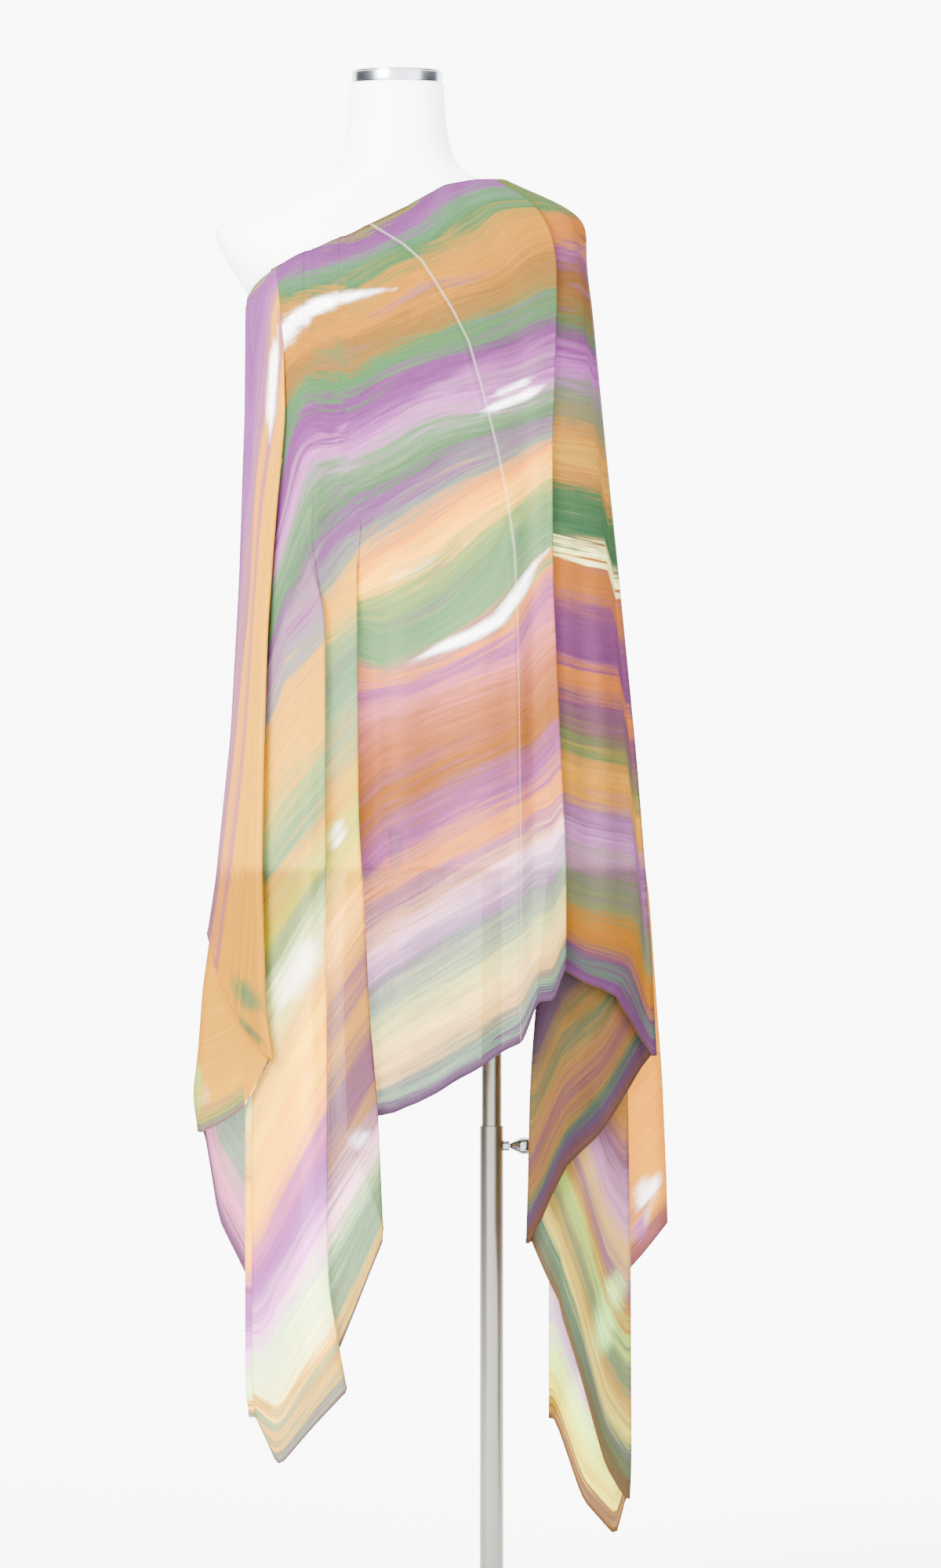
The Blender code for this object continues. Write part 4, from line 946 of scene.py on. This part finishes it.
rightTail = [
    ("reverse fold", "start", -22, -34, reverseFold),
    ("tail hem high", "soft", -34, -34, [(102, 1562), (133, 1538), (158, 1514), (170, 1490), (180, 1440),
        (186, 1273), (186, 1050), (184, 850), (178, 650), (176, 368)]),
    ("tail hem notch", "soft", -32, -32, [(110, 1560), (143, 1535), (168, 1509), (178, 1490), (187, 1440),
        (196, 1273), (202, 1050), (204, 850), (202, 650), (200, 450), (197, 303)]),
    ("tail hem low", "soft", -35, -35, [(118, 1558), (152, 1531), (178, 1504), (187, 1480), (194, 1440),
        (208, 1273), (220, 1050), (228, 850), (230, 650), (228, 400), (226, 196)]),
    ("tail right fold", "fold", -34, -46, [(126, 1556), (162, 1528), (190, 1500), (198, 1470), (203, 1440),
        (220, 1273), (236, 1050), (247, 850), (250, 650), (254, 400), (255, 188), (253, 160)]),
    ("tail point", "soft", -46, -46, [(119, 1553), (154, 1525), (183, 1497), (192, 1470), (200, 1440),
        (215, 1273), (229, 1050), (239, 850), (240, 650), (242, 400), (239, 115)]),
    ("end hem mid", "soft", -46, -46, [(111, 1551), (145, 1523), (172, 1496), (182, 1470), (189, 1440),
        (200, 1273), (206, 1050), (209, 850), (208, 650), (205, 400), (202, 158)]),
    ("tail back fold", "end", -46, -58, tailBackFold),
]
backFall = [
    ("tail back fold", "start", -46, -58, tailBackFold),
    ("back hem hidden", "soft", -58, -58, [(112, 1549), (147, 1525), (173, 1500), (183, 1470), (190, 1440),
        (202, 1273), (208, 1050), (212, 850), (211, 650), (210, 330)]),
    ("back hem high", "soft", -58, -58, [(121, 1551), (158, 1528), (183, 1505), (193, 1470), (200, 1440),
        (212, 1330), (230, 1150), (243, 960), (250, 750), (254, 405)]),
    ("back edge", "soft", -58, -58, [(130, 1553), (168, 1532), (192, 1512), (202, 1480), (209, 1440),
        (224, 1290), (244, 1100), (264, 892), (275, 808), (283, 694), (289, 615), (294, 500), (295, 455)]),
]

# the share of the cloth's width at each share of a line's height, where it isn't even from top to hem
dyeRuns = {
    "shoulder edge": [(0, 0.015), (0.02, 0.03), (1, 0.03)],
    "silhouette": [(0, 0.012), (0.02, 0.035), (1, 0.045)],
    "hem rise": [(0, 0.01), (0.03, 0.03), (0.3, 0.042), (0.5, 0.062), (1, 0.105)],
    "hem belly": [(0, 0.01), (0.03, 0.035), (0.1, 0.045), (0.19, 0.055), (0.3, 0.085), (0.45, 0.115),
        (1, 0.14)],
    "side fold": [(0, 0.02), (0.03, 0.06), (0.06, 0.085), (0.12, 0.1), (0.2, 0.12), (0.3, 0.14),
        (0.5, 0.15), (1, 0.146)],
    "tail fold": [(0, 0), (0.03, 0.1), (0.073, 0.125), (0.113, 0.135), (0.154, 0.145), (0.194, 0.165),
        (0.235, 0.21), (0.29, 0.29), (0.5, 0.47), (0.8, 0.72), (0.867, 0.82), (0.924, 0.89), (0.97, 0.93),
        (1, 0.97)],
    "tail tip": [(0, 0.02), (0.033, 0.1), (0.063, 0.13), (0.086, 0.165), (0.109, 0.2), (0.138, 0.235),
        (0.174, 0.275), (0.239, 0.31), (0.285, 0.34), (0.4, 0.43), (0.5, 0.51), (0.72, 0.72), (0.809, 0.83),
        (0.855, 0.885), (0.9, 0.918), (0.95, 0.94), (1, 1)],
    "tail outer fold": [(0, 0.02), (0.037, 0.1), (0.069, 0.13), (0.094, 0.165), (0.118, 0.2),
        (0.145, 0.235), (0.184, 0.275), (0.239, 0.31), (0.287, 0.34), (0.36, 0.41), (0.48, 0.5),
        (0.8, 0.85), (0.866, 0.905), (0.93, 0.935), (1, 1)],
    "under tail outer fold": [(0, 0.02), (0.037, 0.1), (0.069, 0.13), (0.094, 0.165), (0.118, 0.2),
        (0.145, 0.235), (0.184, 0.275), (0.239, 0.315), (0.287, 0.37), (0.36, 0.46), (0.44, 0.53), (1, 1)],
    "lap fold": [(0, 0), (0.016, 0.03), (0.048, 0.085), (0.072, 0.1), (0.095, 0.13), (0.126, 0.165),
        (0.158, 0.2), (0.191, 0.235), (0.219, 0.275), (0.249, 0.31), (0.29, 0.34), (0.335, 0.4),
        (0.401, 0.49), (0.43, 0.51), (1, 1)],
    "under lap fold": [(0, 0), (0.018, 0.03), (0.054, 0.085), (0.082, 0.1), (0.108, 0.13), (0.143, 0.165),
        (0.18, 0.2), (0.217, 0.235), (0.249, 0.275), (0.283, 0.31), (0.33, 0.345), (0.38, 0.42),
        (0.46, 0.52), (0.56, 0.585), (0.717, 0.68), (0.868, 0.81), (0.94, 0.9), (1, 1)],
    "front left": [(0, 0), (0.022, 0.03), (0.051, 0.085), (0.084, 0.105), (0.1, 0.13), (0.135, 0.165),
        (0.169, 0.2), (0.202, 0.235), (0.237, 0.275), (0.277, 0.31), (0.317, 0.34), (0.366, 0.4),
        (0.388, 0.43), (0.419, 0.455), (0.463, 0.49), (0.512, 0.543), (0.56, 0.6), (0.62, 0.64),
        (0.72, 0.7), (0.806, 0.78), (0.883, 0.86), (1, 1)],
    "hem start": [(0, 0), (0.019, 0.03), (0.045, 0.085), (0.067, 0.1), (0.094, 0.13), (0.134, 0.165),
        (0.165, 0.2), (0.196, 0.235), (0.232, 0.275), (0.276, 0.31), (0.307, 0.34), (0.365, 0.4),
        (0.387, 0.43), (0.417, 0.455), (0.461, 0.49), (0.493, 0.528), (0.51, 0.543), (0.532, 0.562),
        (0.557, 0.6), (0.616, 0.64), (0.714, 0.7), (0.8, 0.78), (0.875, 0.86), (1, 1)],
    "hem mid": [(0, 0), (0.022, 0.03), (0.05, 0.085), (0.068, 0.1), (0.094, 0.13), (0.143, 0.165),
        (0.171, 0.2), (0.201, 0.235), (0.233, 0.275), (0.269, 0.31), (0.309, 0.34), (0.358, 0.4),
        (0.386, 0.43), (0.416, 0.455), (0.461, 0.49), (0.497, 0.528), (0.519, 0.543), (0.537, 0.562),
        (0.56, 0.6), (0.62, 0.64), (0.715, 0.7), (0.799, 0.78), (0.874, 0.86), (1, 1)],
    "hem end": [(0, 0.03), (0.047, 0.085), (0.088, 0.11), (0.129, 0.155), (0.157, 0.18), (0.18, 0.2),
        (0.207, 0.235), (0.244, 0.265), (0.28, 0.31), (0.317, 0.35), (0.348, 0.41), (0.408, 0.49),
        (0.463, 0.53), (0.511, 0.55), (0.545, 0.575), (0.568, 0.6), (0.624, 0.64), (0.715, 0.7),
        (0.797, 0.78), (0.867, 0.86), (1, 1)],
    "valley": [(0, 0.03), (0.035, 0.08), (0.07, 0.1), (0.098, 0.13), (0.136, 0.16), (0.175, 0.2),
        (0.213, 0.235), (0.256, 0.27), (0.289, 0.31), (0.318, 0.35), (0.346, 0.41), (0.413, 0.48),
        (0.462, 0.53), (0.494, 0.545), (0.537, 0.575), (0.572, 0.6), (0.648, 0.64), (0.739, 0.7),
        (0.82, 0.78), (0.892, 0.86), (1, 1)],
    "strip": [(0, 0.04), (0.03, 0.085), (0.061, 0.13), (0.114, 0.165), (0.159, 0.2), (0.195, 0.235),
        (0.247, 0.27), (0.281, 0.31), (0.308, 0.35), (0.333, 0.41), (0.395, 0.48), (0.449, 0.53),
        (0.477, 0.55), (0.52, 0.575), (0.625, 0.64), (0.749, 0.715), (0.85, 0.815), (1, 1)],
    "shoulder fold": [(0, 0.04), (0.03, 0.085), (0.055, 0.13), (0.11, 0.165), (0.157, 0.2), (0.195, 0.235),
        (0.249, 0.27), (0.284, 0.31), (0.312, 0.35), (0.338, 0.41), (0.403, 0.48), (0.458, 0.53),
        (0.487, 0.55), (0.532, 0.575), (0.641, 0.64), (0.77, 0.72), (0.86, 0.82), (1, 1)],
}

# the dye: shares of the cloth's width from the top edge, and sRGB hex
upperBands = [
    (0, "#40301E"), (0.008, "#4E4C22"), (0.016, "#482249"), (0.045, "#502951"), (0.06, "#364F37"),
    (0.085, "#284829"), (0.1, "#6B4F19"), (0.118, "#80520A"), (0.14, "#80500A"), (0.158, "#614115"),
    (0.178, "#5E431B"), (0.19, "#2E4F2D"), (0.208, "#344D31"), (0.222, "#4A2349"), (0.25, "#572957"),
    (0.275, "#8C4F81"), (0.295, "#4D6146"), (0.32, "#354F32"), (0.338, "#532853"),
]
frontBands = upperBands + [
    (0.375, "#586051"), (0.4, "#BA670A"), (0.432, "#E19B0A"), (0.455, "#687438"), (0.49, "#42613F"),
    (0.528, "#4F6844"), (0.543, "#B5630A"), (0.562, "#723961"), (0.588, "#A15251"), (0.612, "#81462D"),
    (0.655, "#6D3F11"), (0.69, "#65305B"), (0.725, "#B3670A"),
]
frontHem = [
    (0, "#A3602B"), (0.722, "#A3602B"), (0.745, "#77415F"), (0.765, "#AC7A5A"), (0.785, "#C495AC"),
    (0.805, "#8F6789"), (0.83, "#686867"), (0.862, "#7F8D69"), (0.885, "#B7B067"), (0.915, "#D4B566"),
    (0.95, "#AD8A4F"), (0.968, "#647860"), (0.982, "#546B58"), (0.988, "#4C384E"), (1, "#463246"),
]
tailBands = upperBands + [
    (0.36, "#714F64"), (0.385, "#605F5A"), (0.405, "#AF760D"), (0.45, "#B47E0D"), (0.48, "#6E7B43"),
    (0.5, "#546F4A"), (0.53, "#B47F0D"), (0.555, "#A49A21"), (0.58, "#6C7F54"), (0.61, "#CDD589"),
    (0.69, "#E7A90D"),
]
tailHem = [
    (0, "#F9D80D"), (0.69, "#F9D80D"), (0.72, "#F3B60D"), (0.75, "#F9C70D"), (0.78, "#F4AE34"),
    (0.81, "#C26C90"), (0.84, "#9A5395"), (0.87, "#9E60A0"), (0.9, "#F0A0E0"), (0.92, "#D1EEB6"),
    (0.94, "#F1F1A9"), (0.953, "#DCA40F"), (0.964, "#678867"), (0.978, "#CD960F"), (0.99, "#677D5E"),
    (1, "#6D4F55"),
]
lapBands = upperBands + [
    (0.375, "#585F53"), (0.405, "#AC740D"), (0.44, "#B27C0D"), (0.47, "#687240"), (0.5, "#486244"),
    (0.56, "#61724E"), (0.6, "#AB750D"), (0.64, "#939328"), (0.7, "#DDA10D"),
]
lapHem = [
    (0, "#F7C440"), (0.7, "#F7C440"), (0.735, "#C68B2F"), (0.765, "#7A4D59"), (0.795, "#B07C2A"),
    (0.825, "#6D4853"), (0.855, "#69435C"), (0.875, "#976A2C"), (0.892, "#734D69"), (0.915, "#EDB3C5"),
    (0.932, "#8FA677"), (0.95, "#5D7752"), (0.975, "#577150"), (0.987, "#AE8C2B"), (1, "#56482A"),
]
rightBands = [
    (0, "#444618"), (0.03, "#304826"), (0.05, "#7A4615"), (0.075, "#7E4916"), (0.095, "#4F2648"),
    (0.12, "#4F3016"), (0.155, "#503619"), (0.18, "#334228"), (0.2, "#4B214B"), (0.235, "#743A71"),
    (0.262, "#474C3D"), (0.295, "#514C30"), (0.315, "#7D5016"), (0.345, "#8B661B"), (0.365, "#7E5017"),
    (0.385, "#2A4127"), (0.43, "#223B26"), (0.452, "#2E472D"), (0.463, "#DEDE8B"), (0.476, "#743F14"),
    (0.505, "#764214"), (0.545, "#4A2541"), (0.6, "#44223E"), (0.618, "#7B4215"), (0.635, "#774014"),
    (0.65, "#44253B"), (0.685, "#46312D"), (0.705, "#394624"), (0.735, "#794D16"),
]
rightHem = [
    (0, "#885B0A"), (0.735, "#885B0A"), (0.765, "#7C510E"), (0.79, "#50314B"), (0.82, "#764B70"),
    (0.85, "#634253"), (0.875, "#50523F"), (0.905, "#555837"), (0.925, "#85520A"), (0.95, "#7A4C17"),
    (0.962, "#4B2B49"), (0.975, "#3A503E"), (0.985, "#4B2B49"), (1, "#472946"),
]
reverseHem = [
    (0, "#3E293D"), (0.78, "#3E293D"), (0.815, "#3C3038"), (0.85, "#62481F"), (0.875, "#38412F"),
    (0.9, "#724E1D"), (0.925, "#513137"), (0.95, "#694A1C"), (0.965, "#314031"), (0.985, "#3B233D"),
    (1, "#442E1E"),
]
plumeHem = [
    (0, "#8A5C23"), (0.7, "#8C5E24"), (0.74, "#5C3C4F"), (0.78, "#9F6B8B"), (0.81, "#B18C46"),
    (0.835, "#67455F"), (0.855, "#8A5F24"), (0.88, "#91A141"), (0.905, "#455F45"), (0.93, "#96752A"),
    (0.95, "#B6A946"), (0.965, "#405A43"), (0.985, "#474A35"), (1, "#503A27"),
]
cornerHem = [
    (0, "#623360"), (0.7, "#623360"), (0.78, "#633852"), (0.83, "#A76512"), (0.87, "#A46C9C"),
    (0.91, "#C09FC5"), (0.945, "#C5E066"), (0.975, "#C7B510"), (0.99, "#71491A"), (1, "#5D3D20"),
]
orangeHem = [
    (0, "#C48F0A"), (0.3, "#C1870A"), (0.62, "#C1860A"), (0.8, "#C6880A"), (0.97, "#CA8C0A"),
    (0.988, "#824A49"), (1, "#734246"),
]
sideBands = [
    (0, "#523E33"), (0.008, "#655F3D"), (0.016, "#5D2F5E"), (0.042, "#673868"), (0.055, "#764D4F"),
    (0.07, "#AF700A"), (0.086, "#7A454F"), (0.1, "#AE720A"), (0.118, "#A5720A"), (0.14, "#A5700A"),
    (0.155, "#AB770A"), (1, "#AD770D"),
]
underHem = [
    (0, "#B37D0C"), (0.6, "#B47D0C"), (0.93, "#B57D0C"), (0.972, "#BA880C"), (0.986, "#5B6E40"),
    (1, "#684E4E"),
]
sheerHem = [
    (0, "#96842F"), (0.6, "#788C6F"), (0.89, "#6E7D68"), (0.945, "#BD6D8C"), (0.975, "#A05679"),
    (0.986, "#603556"), (1, "#583250"),
]
frontDye = dyedVoile("voile_front", frontBands, frontHem, 0.34, 1.0)
lapDye = dyedVoile("voile_lap", lapBands, lapHem, 0.32, 1.0)
tailDye = dyedVoile("voile_tail", tailBands, tailHem, 0.22, 1.0)
rightDye = dyedVoile("voile_shoulder", rightBands, rightHem, 0.14, 2.0)
reverseDye = dyedVoile("voile_shoulder_reverse", None, reverseHem, 0.10, 3.0)
plumeDye = dyedVoile("voile_right_tail", None, plumeHem, 0.16, 4.0)
cornerDye = dyedVoile("voile_right_corner", None, cornerHem, 0.26, 5.0)
orangeDye = dyedVoile("voile_back", None, orangeHem, 0.06, 6.0, 0.3)
sideDye = dyedVoile("voile_side", None, sideBands, 0.12, 7.0, 0.55)
underDye = dyedVoile("voile_under", None, underHem, 0.08, 8.0, 0.3)
sheerDye = dyedVoile("voile_sheer", None, sheerHem, 0.34, 9.0)

# undyed streaks and patches, and painted highlights: sRGB hex, half width, strength, and the (x, z) they run
# through
white = "#FCFCFC"
frontStains = [
    (white, 8, 1, [(-139, 1290), (-138, 1340), (-134, 1385), (-126, 1418), (-108, 1438), (-86, 1449),
        (-60, 1458), (-20, 1466), (0, 1468)]),
    (white, 11, 0.75, [(-128, 1400), (-112, 1432), (-84, 1447)]),
    (white, 5, 0.95, [(84, 1330), (112, 1342), (135, 1352), (166, 1368)]),
    (white, 4, 0.8, [(98, 1350), (126, 1362), (152, 1374)]),
    (white, 6.5, 1, [(10, 1062), (40, 1078), (80, 1094), (110, 1112), (131, 1140), (150, 1172),
        (165, 1188)]),
    ("#F6F4E6", 17, 0.9, [(-129, 690), (-106, 732), (-79, 778)]),
    ("#F4EFDA", 9, 0.6, [(-70, 862), (-56, 900)]),
    ("#EFE9F2", 13, 0.6, [(-52, 545), (-26, 562)]),
    ("#E4DDB0", 9, 0.35, [(-22, 1146), (30, 1170), (60, 1188)]),
]
sideStainsAndHighlights = [
    # the first two white marks are painted highlights where the fold edge catches the light; the green ones
    # are dye
    (white, 4, 1, [(-201, 770), (-197, 742)]),
    (white, 5, 0.9, [(-136, 1300), (-134, 1350), (-131, 1396), (-128, 1430)]),
    ("#465F3B", 13, 0.9, [(-176, 730), (-158, 705), (-140, 690)]),
    ("#3C5239", 6, 0.9, [(-180, 690), (-160, 674), (-136, 652)]),
]
underStains = [
    (white, 6, 1, [(-206, 608), (-199, 598)]),
    ("#8BA74C", 6, 0.9, [(-214, 640), (-214, 570)]),
]
backStains = [
    (white, 12, 0.85, [(286, 508), (272, 490), (262, 470)]),
    ("#8D579A", 8, 0.9, [(266, 470), (258, 425)]),
    ("#53322C", 8, 0.5, [(258, 540), (258, 520)]),
    ("#86985F", 3, 0.8, [(277, 1040), (280, 960)]),
]
tailStains = [
    ("#BAEB82", 16, 0.6, [(246, 420), (226, 350), (214, 300)]),
]

# each stretch: folds, dyes from the given fold on, stains and painted highlights, hemmed borders and slot
stretches = {
    "side_fall": (sideFall, [("shoulder edge", sideDye)], sideStainsAndHighlights, ("hem", "first"), "scarf_side"),
    "under_fall": (underFall, [("side fold", underDye), ("corner fold", sheerDye), ("hidden fold", tailDye)],
                   underStains, ("hem",), "scarf_under"),
    "front_panel": (frontPanel, [("tail fold", tailDye), ("tail outer fold", lapDye), ("lap fold", frontDye),
                                 ("valley", frontDye)], frontStains, ("hem", "top"), "scarf_front"),
    "shoulder_fall": (shoulderFall, [("recess fold", rightDye), ("fall silhouette", reverseDye)], [],
                      ("hem", "top"), "scarf_shoulder"),
    "right_tail": (rightTail, [("reverse fold", plumeDye), ("tail right fold", cornerDye)], tailStains,
                   ("hem", "top"), "scarf_tail"),
    "back_fall": (backFall, [("tail back fold", orangeDye)], backStains,
                  ("hem", "top", "last"), "scarf_back"),
}
borders = {"hem": np.s_[:, -1], "top": np.s_[:, 0], "first": np.s_[0], "last": np.s_[-1]}
for node, (lines, zones, stainsAndHighlights, hemmed, slotName) in stretches.items():
    made, grid, dye = buildStretch("scarf_" + node, lines, zones, stainsAndHighlights, hemmed)
    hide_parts(node)
    runs = [(grid[borders[border]], dye[borders[border]]) for border in hemmed]
    cords = buildHem("hem_" + node, runs, zones[-1][1])
    area = sum(p.area for p in made.data.polygons) * 0.5
    tall = max(path[0][1] - path[-1][1] for *_, path in lines) * mm
    print(node, "laid,", len(made.data.polygons), "faces, area", round(area, 3), "m2")

# floor, light and camera, in metres and watts
room = {
    "floorSize": 14.0, "floorMiddle": 2.0, "worldLight": 9.5, "lookAt": (0.0, 0.0, 1.0),
    "keyPlace": (-2.2, -3.0, 2.8), "keySize": 1.6, "keyPower": 900.0,
    "fillPlace": (2.6, -2.4, 1.6), "fillSize": 2.0, "fillPower": 40.0,
    "cameraHeight": 1.02, "cameraDistance": 8.5, "clothDistance": 8.41, "frameHeight": 1.69,
    "frameMiddle": (-0.023, 0.935), "cardReach": 1.4, "cardDepth": 0.1, "cardHeight": 1.22,
    "cardSize": (2.0, 1.9),
}


def putPlane(name, size, location, turn, finish):
    bpy.ops.mesh.primitive_plane_add(size=size, location=location, rotation=(0, math.radians(turn), 0))
    made = bpy.context.active_object
    made.name = name
    made.data.materials.append(finish)
    return made


def softLight(name, place, size, power):
    lamp = bpy.data.lights.new(name, "AREA")
    lamp.energy, lamp.size = power, size
    made = bpy.data.objects.new(name, lamp)
    made.location = place
    made.rotation_euler = (Vector(room["lookAt"]) - Vector(place)).to_track_quat("-Z", "Y").to_euler()
    bpy.context.scene.collection.objects.link(made)
    return made


# matt white paper on the floor, which takes soft shadows and fades into the backdrop
floorPaper = startMaterial("floor_paper", {"Base Color": colour("#FFFFFF"), "Roughness": 0.9})[0]
floor = putPlane("floor", room["floorSize"], (0, room["floorMiddle"], 0), 0, floorPaper)
world = bpy.data.worlds.new("studio")
bpy.context.scene.world = world
world.use_nodes = True
setInputs(world.node_tree.nodes["Background"], [colour("#FFFFFF"), room["worldLight"]])
keyLight = softLight("key_light", room["keyPlace"], room["keySize"], room["keyPower"])
fillLight = softLight("fill_light", room["fillPlace"], room["fillSize"], room["fillPower"])

cameraData = bpy.data.cameras.new("photo_camera")
cameraData.sensor_fit = "VERTICAL"
cameraData.sensor_height = 36.0
cameraData.lens = cameraData.sensor_height * room["clothDistance"] / room["frameHeight"]
cameraData.shift_y = (room["frameMiddle"][1] - room["cameraHeight"]) / room["frameHeight"]
camera = bpy.data.objects.new("photo_camera", cameraData)
camera.location = (room["frameMiddle"][0], -room["cameraDistance"], room["cameraHeight"])
camera.rotation_euler = (math.radians(90), 0, 0)
bpy.context.scene.collection.objects.link(camera)
bpy.context.scene.camera = camera

# matt black card on both sides, out of the camera's sight, for the steel and the chrome to reflect
cardBlack = startMaterial("card_black", {"Base Color": colour("#060606"), "Roughness": 1.0})[0]
for name, side in (("dark_card_left", -1), ("dark_card_right", 1)):
    place = (side * room["cardReach"], room["cardDepth"], room["cardHeight"])
    card = putPlane(name, 1.0, place, 90, cardBlack)
    card.scale = (*room["cardSize"], 1.0)
    card.visible_camera = False
print("room ready")
